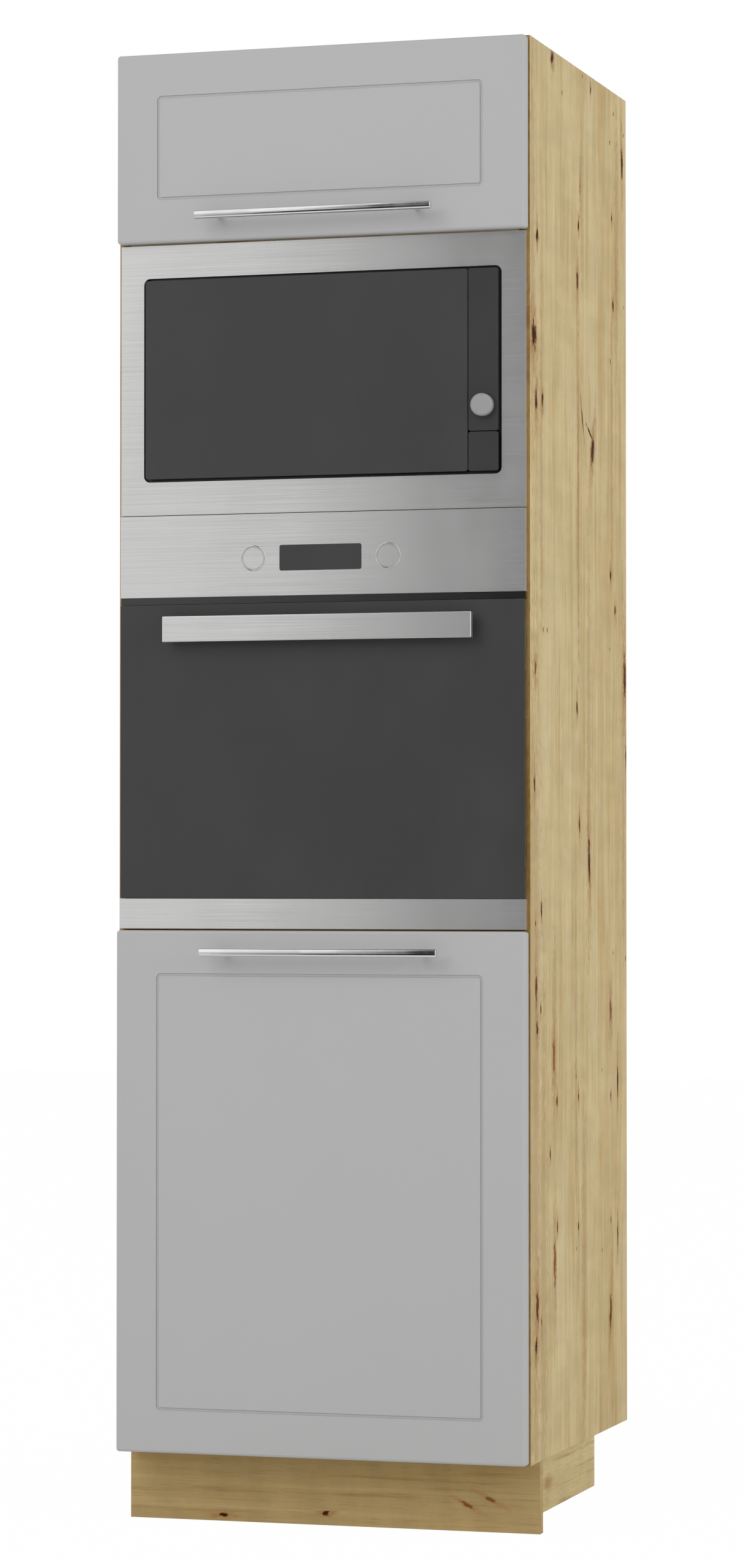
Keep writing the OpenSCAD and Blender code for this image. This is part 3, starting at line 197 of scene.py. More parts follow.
def make_handling_marks():
    """Large faint smears and small specks that change a surface's gloss."""
    group, given, out = new_group(
        "handling_marks", [("Place", "Vector")], [("Smear", "Float"), ("Speck", "Float")])
    smear = noise(group, given["Place"], (9, 9, 5), 5, 0.6)
    speck = noise(group, given["Place"], (700, 700, 700), 1)
    feed(group, ramp(group, smear, 0.35, 0.7), out["Smear"])
    feed(group, ramp(group, speck, 0.62, 0.78), out["Speck"])
    return group


def make_brushed_lines():
    """Fine lines of brushed metal. Stretch is large across the lines and small along them."""
    group, given, out = new_group(
        "brushed_lines",
        [("Place", "Vector"), ("Stretch", "Vector", (6, 1800, 1800))],
        [("Line", "Float"), ("Cloud", "Float")])
    stretched = vector_maths(group, "MULTIPLY", given["Place"], given["Stretch"])
    values = {"Vector": stretched, "Scale": 1.0, "Detail": 3.0}
    line = put(group, "ShaderNodeTexNoise", values).outputs[0]
    cloud = noise(group, given["Place"], (3, 3, 3), 2)
    feed(group, line, out["Line"])
    feed(group, cloud, out["Cloud"])
    return group


def make_spangle():
    """The crystals of zinc-coated sheet."""
    group, given, out = new_group(
        "spangle", [("Place", "Vector")], [("Crystal", "Float"), ("Rim", "Float")])
    values = {"Vector": given["Place"], "Scale": 90.0}
    cells = put(group, "ShaderNodeTexVoronoi", values).outputs["Color"]
    crystal = put(group, "ShaderNodeSeparateColor", {"Color": cells}).outputs[0]
    rims = put(group, "ShaderNodeTexVoronoi", values, feature="DISTANCE_TO_EDGE").outputs["Distance"]
    feed(group, crystal, out["Crystal"])
    feed(group, ramp(group, rims, 0.0, 0.05), out["Rim"])
    return group


def make_oak_figure():
    """Oak with its grain along the third axis: strips, clouds, streaks, fine grain and pores."""
    group, given, out = new_group(
        "oak_figure",
        [("Place", "Vector"), ("Pale", "Color"), ("Warm", "Color"), ("Brown", "Color"),
         ("Strip", "Float", 0.075)],
        [("Colour", "Color"), ("Height", "Float"), ("Pore", "Float")])
    place = given["Place"]

    # The grain wanders sideways by up to 20 mm
    bend = maths(group, "MULTIPLY", noise(group, place, (3, 3, 0.6), 2), 0.02)
    parts = put(group, "ShaderNodeSeparateXYZ", {0: place}).outputs
    across = maths(group, "ADD", parts[0], bend)
    bent = put(group, "ShaderNodeCombineXYZ", {0: across, 1: parts[1], 2: parts[2]}).outputs[0]

    # Glued strips, each with its own warmth and depth of colour
    count = maths(group, "DIVIDE", across, given["Strip"])
    values = {"W": count, "Scale": 1.0, "Randomness": 0.8, "Smoothness": 0.1}
    strips = put(group, "ShaderNodeTexVoronoi", values, voronoi_dimensions="1D", feature="SMOOTH_F1")
    strip = put(group, "ShaderNodeSeparateColor", {"Color": strips.outputs["Color"]}).outputs
    clouds = noise(group, bent, (24, 24, 4.2), 5, 0.65)
    warmth = maths(group, "MULTIPLY_ADD", strip[0], 0.2, clouds)
    colour = tint(group, ramp(group, warmth, 0.4, 1.15), given["Pale"], given["Warm"])

    # Broad warm bands, brown streaks and fine lines, from wide to narrow
    band = ramp(group, noise(group, bent, (46, 46, 2.6), 4, 0.6), 0.46, 0.72, 0.0, 0.42)
    colour = tint(group, band, colour, given["Warm"])
    streak = noise(group, bent, (120, 120, 4.0), 4, 0.6)
    colour = tint(group, ramp(group, streak, 0.56, 0.72, 0.0, 0.38), colour, given["Brown"])
    line = noise(group, bent, (520, 520, 11.0), 3, 0.65)
    colour = tint(group, ramp(group, line, 0.5, 0.72, 0.0, 0.12), colour, given["Brown"])
    light = ramp(group, noise(group, bent, (90, 90, 2.4), 4), 0.3, 0.56, 0.2, 0.0)
    colour = tint(group, light, colour, (1, 1, 1, 1), "SOFT_LIGHT")

    # Ripple across the grain, and the pores
    ripple = ramp(group, noise(group, place, (11, 11, 22), 4, 0.65), 0.3, 0.7, 0.91, 1.02)
    value = maths(group, "MULTIPLY_ADD", strip[1], 0.05, ripple)
    grey = put(group, "ShaderNodeCombineColor", {0: value, 1: value, 2: value}).outputs[0]
    colour = tint(group, 1.0, colour, grey, "MULTIPLY")
    pore = ramp(group, noise(group, bent, (1500, 1500, 26), 1), 0.64, 0.74)
    colour = tint(group, maths(group, "MULTIPLY", pore, 0.35), colour, given["Brown"])
    feed(group, colour, out["Colour"])
    feed(group, maths(group, "SUBTRACT", line, pore), out["Height"])
    feed(group, pore, out["Pore"])
    return group


def make_knot():
    """How far a place lies from a knot, measured in the knot's half sizes: for its core and for
    its halo, which runs out along the grain. Scale and Offset bring the knot's middle to zero
    and its half sizes to one."""
    group, given, out = new_group(
        "oak_knot", [("Place", "Vector"), ("Scale", "Vector"), ("Offset", "Vector")],
        [("Core", "Float"), ("Halo", "Float")])
    away = vector_maths(group, "MULTIPLY_ADD", given["Place"], given["Scale"], given["Offset"])
    wide = vector_maths(group, "MULTIPLY", away, (0.45, 1, 0.24))
    feed(group, vector_maths(group, "LENGTH", away), out["Core"])
    feed(group, vector_maths(group, "LENGTH", wide), out["Halo"])
    return group


def make_scattered_knots():
    """Small knots spread over a board by chance."""
    group, given, out = new_group(
        "scattered_knots", [("Place", "Vector"), ("Wobble", "Float", 0.0)],
        [("Core", "Float"), ("Halo", "Float")])
    stretched = vector_maths(group, "MULTIPLY", given["Place"], (9, 9, 3.4))
    cells = put(group, "ShaderNodeTexVoronoi", {"Vector": stretched, "Scale": 1.0})
    chance = put(group, "ShaderNodeSeparateColor", {"Color": cells.outputs["Color"]}).outputs
    size = ramp(group, chance[0], 0.45, 1.0, 0.0, 0.10)
    ragged = maths(group, "MULTIPLY_ADD", given["Wobble"], -0.03, size)
    near = maths(group, "SUBTRACT", ragged, cells.outputs["Distance"])
    feed(group, ramp(group, near, 0.0, 0.03), out["Core"])
    feed(group, ramp(group, near, -0.16, 0.0), out["Halo"])
    return group


SOFT_EDGES = make_soft_edges()
HANDLING_MARKS = make_handling_marks()
BRUSHED_LINES = make_brushed_lines()
SPANGLE = make_spangle()
OAK_FIGURE = make_oak_figure()
OAK_KNOT = make_knot()
SCATTERED_KNOTS = make_scattered_knots()


# ---------- materials ----------

def surface(name, **constants):
    """A new material, its tree and its Principled shader, with constants set on the shader."""
    material = bpy.data.materials.new(name)
    material.use_nodes = True
    tree = material.node_tree
    shader = tree.nodes["Principled BSDF"]
    for key, value in constants.items():
        shader.inputs[key.replace("_", " ")].default_value = value
    return material, tree, shader


def bump(tree, height, distance, normal=None):
    """A normal raised by height times distance (m), on top of another normal."""
    values = {"Height": height, "Distance": distance, "Strength": 1.0}
    if normal is not None:
        values["Normal"] = normal
    return put(tree, "ShaderNodeBump", values).outputs[0]


def finish(tree, shader, colour, roughness, normal):
    """Joins a material's colour, roughness and normal to its shader."""
    for label, value in (("Base Color", colour), ("Roughness", roughness), ("Normal", normal)):
        feed(tree, value, shader.inputs[label])


def touched(tree, edge_radius):
    """The place on a piece, the marks of handling there, and its softened edges."""
    here = place_of(tree)
    marks = use(tree, HANDLING_MARKS, Place=here)
    return here, marks, use(tree, SOFT_EDGES, Radius=edge_radius, Place=here)


# Knots of the right-hand side panel: behind its front edge, height, half width,
# half length (all mm), how dark the core is, and its lean. Places and sizes were read
# in the photograph and brought onto the panel with its camera.
# Darkness and lean were set one by one.
SIDE_KNOTS = (
    (123, 2059, 8, 9, 0.8, 0.0), (344, 2049, 3, 6, 0.7, 0.0), (536, 1970, 5, 24, 0.8, 0.05),
    (39, 1800, 6, 10, 0.9, 0.0), (273, 1843, 4, 7, 0.9, 0.0), (472, 1882, 3, 6, 0.7, 0.0),
    (281, 1902, 3, 14, 0.25, 0.0), (266, 1765, 5, 14, 0.55, 0.0), (480, 1751, 5, 8, 0.6, 0.0),
    (21, 1659, 13, 18, 0.75, 0.1), (34, 1569, 6, 16, 0.85, 0.0), (67, 1572, 5, 9, 0.7, 0.0),
    (295, 1565, 2.5, 17, 0.8, 0.35), (338, 1551, 5, 12, 0.9, 1.8), (355, 1527, 9, 20, 0.9, -0.2),
    (463, 1353, 5, 8, 0.8, 0.0),
    (491, 1302, 6, 9, 0.3, 0.0), (550, 1204, 9, 32, 0.5, 0.0), (29, 1198, 7, 12, 0.3, 0.0),
    (262, 1152, 4, 10, 0.85, 0.0), (558, 1085, 4, 17, 0.85, 0.0), (23, 1035, 4, 13, 0.9, 0.0),
    (275, 985, 4, 10, 0.7, 0.0), (332, 930, 6, 32, 0.8, 0.08), (60, 860, 4, 10, 0.75, 0.0),
    (28, 843, 3, 6, 0.6, 0.0), (475, 796, 2, 3, 0.4, 0.0), (552, 787, 2, 4, 0.5, 0.0),
    (31, 753, 5, 24, 0.55, 0.0), (56, 723, 3, 6, 0.7, 0.0), (460, 712, 8, 21, 0.35, 0.0),
    (37, 698, 5, 10, 0.85, 0.0), (128, 658, 8, 22, 0.3, 0.0), (408, 626, 3, 3, 0.3, 0.0),
    (254, 623, 2, 3, 0.3, 0.0), (503, 605, 4, 23, 0.8, 0.0), (268, 595, 3, 7, 0.85, 0.0),
    (146, 593, 4, 8, 0.65, 0.0), (461, 586, 3, 5, 0.7, 0.0), (108, 521, 3, 6, 0.85, 0.0),
    (147, 416, 4, 8, 0.65, 0.0), (268, 408, 3, 6, 0.85, 0.0), (461, 404, 2, 6, 0.75, 0.0),
    (503, 379, 3, 16, 0.8, 0.0), (256, 378, 2, 4, 0.4, 0.0), (133, 368, 7, 40, 0.4, 0.0),
    (408, 364, 2, 4, 0.4, 0.0), (37, 316, 8, 24, 0.55, 0.0), (60, 291, 3, 6, 0.3, 0.0),
    (459, 270, 6, 26, 0.45, -0.1), (31, 260, 6, 12, 0.75, 0.0), (178, 2019, 2, 4, 0.5, 0.0),
    (296, 2062, 2, 4, 0.5, 0.0), (483, 2038, 2, 4, 0.5, 0.0), (545, 2016, 2, 4, 0.5, 0.0),
    (460, 1992, 2, 4, 0.5, 0.0), (463, 1669, 2, 4, 0.5, 0.0), (547, 1758, 2, 4, 0.5, 0.0),
    (458, 1243, 2, 4, 0.5, 0.0), (71, 1252, 2, 4, 0.5, 0.0), (93, 1253, 2, 4, 0.5, 0.0),
)
# Long dark streaks of the same panel, given in the same way
SIDE_STREAKS = (
    (254, 760, 5, 170, 0.35, 0.0), (254, 560, 6, 150, 0.3, 0.0), (60, 1500, 9, 260, 0.16, 0.0),
    (500, 1820, 12, 230, 0.22, 0.0), (290, 1880, 10, 120, 0.2, 0.0), (540, 1080, 14, 260, 0.2, 0.0),
    (130, 700, 12, 150, 0.22, 0.0), (22, 640, 34, 700, 0.3, 0.0), (70, 380, 22, 420, 0.3, 0.0),
    (12, 1760, 16, 330, 0.3, 0.0), (330, 1050, 14, 330, 0.3, 0.0), (270, 1450, 6, 260, 0.5, 0.0),
    (300, 350, 14, 260, 0.3, 0.0), (470, 1560, 8, 200, 0.3, 0.0),
)
# Knots of the plinth's front: height and place across the unit, then as above
PLINTH_KNOTS = (
    (9, -160, 4.5, 6, 0.9, 0.0), (16.5, -9.5, 3.5, 5, 0.9, 0.0), (45, 229, 3, 9, 0.3, 0.5),
    (37, 194, 3, 10, 0.25, 0.5),
)

# Knots are drawn in three depths of colour: a class's least darkness, and what it is drawn with
KNOT_CLASSES = ((0.7, 0.92), (0.45, 0.66), (0.0, 0.4))
# A distance, in half sizes, at which a knot doesn't show
FAR_OFF = 9.0
# Knots of this half length (mm) or less have no halo, nor do those that lean this much or more
SMALL_KNOT, STEEP_LEAN = 4, 1

GRAIN_BROWN = rgb(140, 98, 54)
HALO_BROWN, RIM_BROWN, CORE_BROWN = rgb(164, 120, 76), rgb(130, 76, 38), rgb(60, 34, 20)


def knot_masks(tree, grain, knots, wobble, shift):
    """Masks of the listed knots' cores and halos. The nearest knot of a class counts."""
    flat = vector_maths(tree, "MULTIPLY", grain, (1, 0, 1))
    parts = put(tree, "ShaderNodeSeparateXYZ", {0: flat}).outputs
    core, halo = 0.0, 0.0
    above = math.inf
    for least, shown in KNOT_CLASSES:
        near, wide = FAR_OFF, FAR_OFF
        for across, along, half_width, half_length, dark, lean in knots:
            if not least <= dark < above:
                continue
            x0, z0 = shift[0] + across * MM, shift[1] + along * MM
            place = flat
            if lean:
                leaned = maths(tree, "MULTIPLY_ADD", parts[2], lean, parts[0])
                place = put(tree, "ShaderNodeCombineXYZ", {0: leaned, 2: parts[2]}).outputs[0]
                x0 += lean * z0
            scale = (1 / (half_width * MM), 0, 1 / (half_length * MM))
            offset = (-x0 * scale[0], 0, -z0 * scale[2])
            knot = use(tree, OAK_KNOT, Place=place, Scale=scale, Offset=offset)
            near = maths(tree, "MINIMUM", knot["Core"], near)
            if half_length > SMALL_KNOT and lean < STEEP_LEAN:
                wide = maths(tree, "MINIMUM", knot["Halo"], wide)
        above = least
        if near == FAR_OFF:
            continue
        drawn = ramp(tree, maths(tree, "ADD", near, wobble), 0.5, 1.2, shown, 0.0)
        core = maths(tree, "MAXIMUM", drawn, core)
        if wide != FAR_OFF:
            wide = maths(tree, "MULTIPLY_ADD", wobble, 0.6, wide)
            drawn = ramp(tree, wide, 0.15, 1.0, 0.4 + 0.5 * shown, 0.0)
            halo = maths(tree, "MAXIMUM", drawn, halo)
    return core, halo


def oak(name, order, pale, warm, knots=(), streaks=(), shift=(0, 0), edge=None):
    """Oak board. order names the axes across, through and along the grain. shift is the
    row-frame place (m) of the knots' zero, across and along the grain. edge is a colour
    that the board's front edge is multiplied by."""
    material, tree, shader = surface(name, Specular_IOR_Level=0.02)
    here, marks, edges = touched(tree, 0.0009)
    axes = put(tree, "ShaderNodeSeparateXYZ", {0: here}).outputs
    turned_axes = {i: axes["XYZ".index(axis)] for i, axis in enumerate(order)}
    grain = put(tree, "ShaderNodeCombineXYZ", turned_axes).outputs[0]
    figure = use(tree, OAK_FIGURE, Place=grain, Pale=pale, Warm=warm, Brown=GRAIN_BROWN)
    colour = figure["Colour"]
    wobble = ramp(tree, noise(tree, grain, (170, 170, 60), 4, 0.7), 0.25, 0.75, -0.6, 0.6)
    if streaks:
        core, _ = knot_masks(tree, grain, streaks, wobble, shift)
        colour = tint(tree, maths(tree, "MULTIPLY", core, 0.72), colour, GRAIN_BROWN)
    if knots:
        core, halo = knot_masks(tree, grain, knots, wobble, shift)
    else:
        spread = use(tree, SCATTERED_KNOTS, Place=grain, Wobble=wobble)
        core, halo = spread["Core"], spread["Halo"]
    patchy = ramp(tree, noise(tree, grain, (120, 120, 9), 3, 0.6), 0.3, 0.65, 0.55, 1.0)
    stained = tint(tree, maths(tree, "MULTIPLY", halo, patchy), colour, HALO_BROWN)
    stained = tint(tree, ramp(tree, core, 0.0, 0.5), stained, RIM_BROWN)
    stained = tint(tree, ramp(tree, core, 0.3, 0.9), stained, CORE_BROWN)
    if edge is not None:
        normal = put(tree, "ShaderNodeTexCoord").outputs["Normal"]
        facing = put(tree, "ShaderNodeSeparateXYZ", {0: normal}).outputs[1]
        stained = tint(tree, ramp(tree, facing, -0.9, -0.7, 1.0, 0.0), stained, edge, "MULTIPLY")
    # Paler edges: partly rubbed wear, partly a painted highlight
    worn_and_highlit = tint(tree, maths(tree, "MULTIPLY", edges["Rubbed"], 0.25), stained, pale)
    smeared = ramp(tree, marks["Smear"], 0.0, 1.0, 0.46, 0.58)
    roughness = maths(tree, "MULTIPLY_ADD", figure["Pore"], 0.15, smeared)
    finish(tree, shader, worn_and_highlit, roughness, bump(tree, figure["Height"], 0.00012, edges["Normal"]))
    return material


def lacquer(name, colour):
    """Matt lacquer with a faint orange-peel, lighter at the edges: partly rubbed wear, partly a painted
    highlight.
    """
    material, tree, shader = surface(name, Specular_IOR_Level=0.3)
    here, marks, edges = touched(tree, 0.0006)
    tone = ramp(tree, noise(tree, here, (2.5, 2.5, 1.5), 3), 0.3, 0.7, 0.0, 0.05)
    painted = tint(tree, tone, colour, rgb(150, 150, 150))
    # Paler edges: partly rubbed wear, partly a painted highlight
    painted = tint(tree, maths(tree, "MULTIPLY", edges["Rubbed"], 0.25), painted, rgb(205, 205, 205))
    peel = bump(tree, noise(tree, here, (900, 900, 900), 2), 0.00002, edges["Normal"])
    finish(tree, shader, painted, ramp(tree, marks["Smear"], 0.0, 1.0, 0.42, 0.52), peel)
    return material


def polished_metal(name, colour):
    """Bright plated metal with faint wiping marks."""
    material, tree, shader = surface(name, Metallic=1.0)
    _, marks, edges = touched(tree, 0.0004)
    tone = tint(tree, maths(tree, "MULTIPLY", marks["Smear"], 0.10), colour, rgb(190, 190, 192))
    finish(tree, shader, tone, ramp(tree, marks["Smear"], 0.0, 1.0, 0.05, 0.11), edges["Normal"])
    return material


def brushed_metal(name, colour, dark, stretch, roughness=(0.12, 0.19)):
    """Brushed steel: lines along the axis with the small stretch."""
    material, tree, shader = surface(
        name, Metallic=0.78, Anisotropic=0.7, Anisotropic_Rotation=0.25)
    here, marks, edges = touched(tree, 0.0005)
    brush = use(tree, BRUSHED_LINES, Place=here, Stretch=stretch)
    tone = tint(tree, ramp(tree, brush["Line"], 0.3, 0.7, 0.0, 0.3), colour, dark)
    tone = tint(tree, ramp(tree, brush["Cloud"], 0.3, 0.7, 0.0, 0.12), tone, dark)
    # Paler edges: partly rubbed wear, partly a painted highlight
    tone = tint(tree, maths(tree, "MULTIPLY", edges["Rubbed"], 0.35), tone, rgb(225, 225, 225))
    gloss = ramp(tree, brush["Line"], 0.3, 0.7, *roughness)
    gloss = maths(tree, "MULTIPLY_ADD", marks["Smear"], 0.04, gloss)
    finish(tree, shader, tone, gloss, bump(tree, brush["Line"], 0.000004, edges["Normal"]))
    return material


def spangled_sheet(name):
    """Zinc-coated sheet with its crystals."""
    material, tree, shader = surface(name, Metallic=1.0)
    here = place_of(tree)
    zinc = use(tree, SPANGLE, Place=here)
    edges = use(tree, SOFT_EDGES, Radius=0.0006, Place=here)
    tone = tint(tree, zinc["Crystal"], rgb(150, 153, 156), rgb(186, 188, 190))
    # Paler edges: partly rubbed wear, partly a painted highlight
    tone = tint(tree, maths(tree, "MULTIPLY", edges["Rubbed"], 0.4), tone, rgb(205, 205, 206))
    gloss = ramp(tree, zinc["Crystal"], 0.0, 1.0, 0.34, 0.52)
    finish(tree, shader, tone, gloss, bump(tree, zinc["Rim"], 0.00001, edges["Normal"]))
    return material


def dark_glass(name, colour):
    """Opaque dark glass with finger smears in its gloss."""
    material, tree, shader = surface(name, Specular_IOR_Level=0.35)
    _, marks, edges = touched(tree, 0.0008)
    tone = tint(tree, maths(tree, "MULTIPLY", marks["Smear"], 0.05), colour, rgb(92, 92, 93))
    # Paler edges: partly rubbed wear, partly a painted highlight on the glass's bevel
    tone = tint(tree, maths(tree, "MULTIPLY", edges["Rubbed"], 0.3), tone, rgb(120, 124, 124))
    finish(tree, shader, tone, ramp(tree, marks["Smear"], 0.0, 1.0, 0.30, 0.42), edges["Normal"])
    return material


def enamel(name, colour, fleck, roughness=(0.22, 0.34)):
    """Fired enamel with fine flecks and a slightly wavy surface."""
    material, tree, shader = surface(name, Coat_Roughness=0.12)
    here, marks, edges = touched(tree, 0.001)
    tone = tint(tree, maths(tree, "MULTIPLY", marks["Speck"], 0.6), colour, fleck)
    wave = bump(tree, noise(tree, here, (60, 60, 60), 2), 0.00004, edges["Normal"])
    finish(tree, shader, tone, ramp(tree, marks["Smear"], 0.0, 1.0, *roughness), wave)
    feed(tree, maths(tree, "MULTIPLY_ADD", marks["Smear"], 0.2, 0.3), shader.inputs["Coat Weight"])
    return material


def moulded_plastic(name, colour, wear_and_highlight_tone, roughness=(0.38, 0.5), **constants):
    """Moulded plastic with a fine spark-eroded texture, and edges painted paler: partly rubbed wear,
    partly a painted highlight.
    """
    material, tree, shader = surface(name, **constants)
    here, marks, edges = touched(tree, 0.0005)
    # Paler edges: partly rubbed wear, partly a painted highlight
    tone = tint(tree, maths(tree, "MULTIPLY", edges["Rubbed"], 0.35), colour, wear_and_highlight_tone)
    tone = tint(tree, maths(tree, "MULTIPLY", marks["Smear"], 0.10), tone, wear_and_highlight_tone)
    grain = bump(tree, noise(tree, here, (1600, 1600, 1600), 2), 0.00003, edges["Normal"])
    finish(tree, shader, tone, ramp(tree, marks["Smear"], 0.0, 1.0, *roughness), grain)
    return material


def pressed_fibre(name):
    """Hardboard: matted fibres, smooth side out."""
    material, tree, shader = surface(name, Specular_IOR_Level=0.2)
    here = place_of(tree)
    fibre = noise(tree, here, (420, 420, 260), 5, 0.7)
    cloud = noise(tree, here, (12, 12, 9), 3)
    tone = tint(tree, ramp(tree, fibre, 0.3, 0.7), rgb(112, 82, 54), rgb(142, 108, 74))
    tone = tint(tree, ramp(tree, cloud, 0.3, 0.7, 0.0, 0.3), tone, rgb(104, 74, 48))
    finish(tree, shader, tone, ramp(tree, fibre, 0.0, 1.0, 0.55, 0.8), bump(tree, fibre, 0.00015))
    return material


def clear_glass(name):
    """Clear glass with a faint green body and fine surface waves."""
    material, tree, shader = surface(name, Transmission_Weight=1.0, IOR=1.5)
    here = place_of(tree)
    marks = use(tree, HANDLING_MARKS, Place=here)
    body = tint(tree, marks["Smear"], rgb(236, 246, 242), rgb(226, 240, 236))
    waves = bump(tree, noise(tree, here, (40, 40, 40), 1), 0.00005)
    finish(tree, shader, body, ramp(tree, marks["Smear"], 0.0, 1.0, 0.03, 0.09), waves)
    return material


def cavity_enamel(name):
    """Pale enamel of the microwave's cavity, near-black on its front plate."""
    material = enamel(name, rgb(196, 197, 196), rgb(150, 152, 152))
    tree = material.node_tree
    shader = tree.nodes["Principled BSDF"]
    depth = put(tree, "ShaderNodeSeparateXYZ", {0: place_of(tree)}).outputs[1]
    plate_back, soft = FRONT + 1.4 * MM, 0.2 * MM
    plate = ramp(tree, depth, plate_back - soft, plate_back + soft, 1.0, 0.0)
    pale = shader.inputs["Base Color"].links[0].from_socket
    feed(tree, tint(tree, plate, pale, rgb(22, 22, 23)), shader.inputs["Base Color"])
    return material


PALE_OAK = rgb(206, 188, 145)
WARM_OAK = rgb(183, 152, 97)
EDGE_OAK = rgb(210, 191, 154)
# Painted light: brightens the edge of the flap's shelf, which shows in the narrow shaded gap under the
# flap
GAP_PAINTED_LIGHT = (1.5, 1.55, 1.7, 1)
PLINTH_PALE, PLINTH_WARM = rgb(178, 155, 108), rgb(178, 151, 103)
STEEL, DARK_STEEL = rgb(236, 236, 235), rgb(206, 206, 206)
ALONG_X, NO_LINES = (5, 1600, 1600), (300, 300, 300)

MATERIALS = {
    "oak_board": oak("oak_sides", "YXZ", PALE_OAK, WARM_OAK, edge=EDGE_OAK),
    "plinth_oak": oak("oak_plinth", "ZYX", PLINTH_PALE, PLINTH_WARM, PLINTH_KNOTS),
    "grey_front": lacquer("grey_lacquer", rgb(182, 182, 182)),
    "hardboard": pressed_fibre("hardboard"),
    "bright_chrome": polished_metal("bright_chrome", rgb(236, 236, 237)),
    "brushed_steel": brushed_metal("brushed_steel", STEEL, DARK_STEEL, ALONG_X),
    "plated_steel": brushed_metal(
        "plated_steel", rgb(196, 197, 200), rgb(150, 151, 155), NO_LINES, (0.18, 0.28)),
    "galvanised_sheet": spangled_sheet("galvanised_sheet"),
    "black_glass": dark_glass("black_glass", rgb(61, 61, 61)),
    "dark_enamel": enamel("dark_enamel", rgb(38, 38, 41), rgb(88, 90, 96)),
    "light_enamel": cavity_enamel("light_enamel"),
    "black_plastic": moulded_plastic("black_plastic", rgb(66, 66, 67), rgb(104, 104, 104)),
    "grey_plastic": moulded_plastic(
        "grey_plastic", rgb(150, 150, 150), rgb(186, 186, 186), (0.3, 0.4)),
    "white_plastic": moulded_plastic("white_plastic", rgb(222, 222, 219), rgb(238, 238, 236)),
    "seal_rubber": moulded_plastic("seal_rubber", rgb(40, 40, 41), rgb(70, 70, 70), (0.6, 0.75)),
    "clear_glass": clear_glass("clear_glass"),
    "wire": polished_metal("plated_wire", rgb(205, 206, 208)),
}
OAK_ALONG_X = oak("oak_shelves", "YZX", PALE_OAK, WARM_OAK, edge=EDGE_OAK)
OAK_ALONG_Y = oak("oak_plinth_sides", "ZXY", rgb(215, 197, 150), rgb(199, 172, 115))
# The flap's shelf, with painted light on its front edge in the shaded gap under the flap
SHELF_WITH_PAINTED_LIGHT = oak("oak_flap_shelf_painted_light", "YZX", PALE_OAK, WARM_OAK, edge=GAP_PAINTED_LIGHT)
COLUMN_GLASS = dark_glass("column_glass", rgb(54, 54, 54))
STRIP_PLASTIC = moulded_plastic(
    "glossy_strip", rgb(22, 22, 22), rgb(40, 40, 40), (0.06, 0.1), Specular_IOR_Level=1.0)
KNOB_STEEL = brushed_metal("knob_steel", STEEL, DARK_STEEL, ALONG_X)
SIDE_OAK = oak(
    "oak_right_side", "YXZ", PALE_OAK, WARM_OAK, SIDE_KNOTS, SIDE_STREAKS,
    shift=(FRONT, 0), edge=EDGE_OAK)
OWN_MATERIAL = {
    "side_panel_right": SIDE_OAK,
    "plinth_sides": OAK_ALONG_Y,
    "flap_shelf": SHELF_WITH_PAINTED_LIGHT,
    "microwave_control_panel": COLUMN_GLASS,
    "door_release_button": COLUMN_GLASS,
    "oven_vent_strip": STRIP_PLASTIC,
    "left_knob": KNOB_STEEL,
    "right_knob": KNOB_STEEL,
    "top_panel": OAK_ALONG_X,
    "bottom_panel": OAK_ALONG_X,
    "oven_shelf": OAK_ALONG_X,
    "microwave_shelf": OAK_ALONG_X,
    "adjustable_shelf": OAK_ALONG_X,
    "rear_rails": OAK_ALONG_X,
}


def dress_nodes():
    """Gives every CAD node the material of its slot, or its own one."""
    for part in frame["record"]["subparts"]:
        name = part["node"]
        data = NODES[name].data
        data.materials.clear()
        data.materials.append(OWN_MATERIAL.get(name, MATERIALS[part["material_slot"]]))


dress_nodes()


# ---------- small parts made for the scene ----------

# Edges that bend less than this are shaded smooth
CREASE = math.radians(35)


def add_piece(name, shape, body, slot, material=None):
    """A piece from a finished bmesh, shaded smooth round its gentle bends, riding on a CAD body."""
    bmesh.ops.recalc_face_normals(shape, faces=shape.faces)
    for face in shape.faces:
        face.smooth = True
    for edge in shape.edges:
        edge.smooth = edge.calc_face_angle(math.pi) < CREASE
    data = bpy.data.meshes.new(name)
    shape.to_mesh(data)
    shape.free()
    data.materials.append(material or MATERIALS[slot])
    piece = bpy.data.objects.new(name, data)
    bpy.context.scene.collection.objects.link(piece)
    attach(piece, body)


def stand(place, facing):
    """Turns a point in mm, with its third axis along facing, into the row frame."""
    turn = Vector(facing).to_track_quat("Z", "Y").to_matrix()
    return lambda x, y, z: place + turn @ Vector((x, y, z)) * MM


def join_rings(shape, first, second):
    """Faces between two rings of vertices, either of which may be a single point."""
    steps = max(len(first), len(second))
    for i in range(steps):
        j = (i + 1) % steps
        near = (first[i % len(first)], first[j % len(first)])
        far = (second[j % len(second)], second[i % len(second)])
        shape.faces.new(list(dict.fromkeys(near + far)))


def turned(shape, profile, place, facing, steps=24, closed=False):
    """A revolved form from (radius, height) points in mm, with its heights along facing.
    A closed profile makes a ring."""
    at = stand(place, facing)
    rings = []
    for radius, height in profile:
        angles = [2 * math.pi * i / steps for i in range(steps if radius else 1)]
        ring = [at(radius * math.cos(a), radius * math.sin(a), height) for a in angles]
        rings.append([shape.verts.new(point) for point in ring])
    for first, second in zip(rings, rings[1:] + rings[:1] if closed else rings[1:]):
        join_rings(shape, first, second)
    return rings


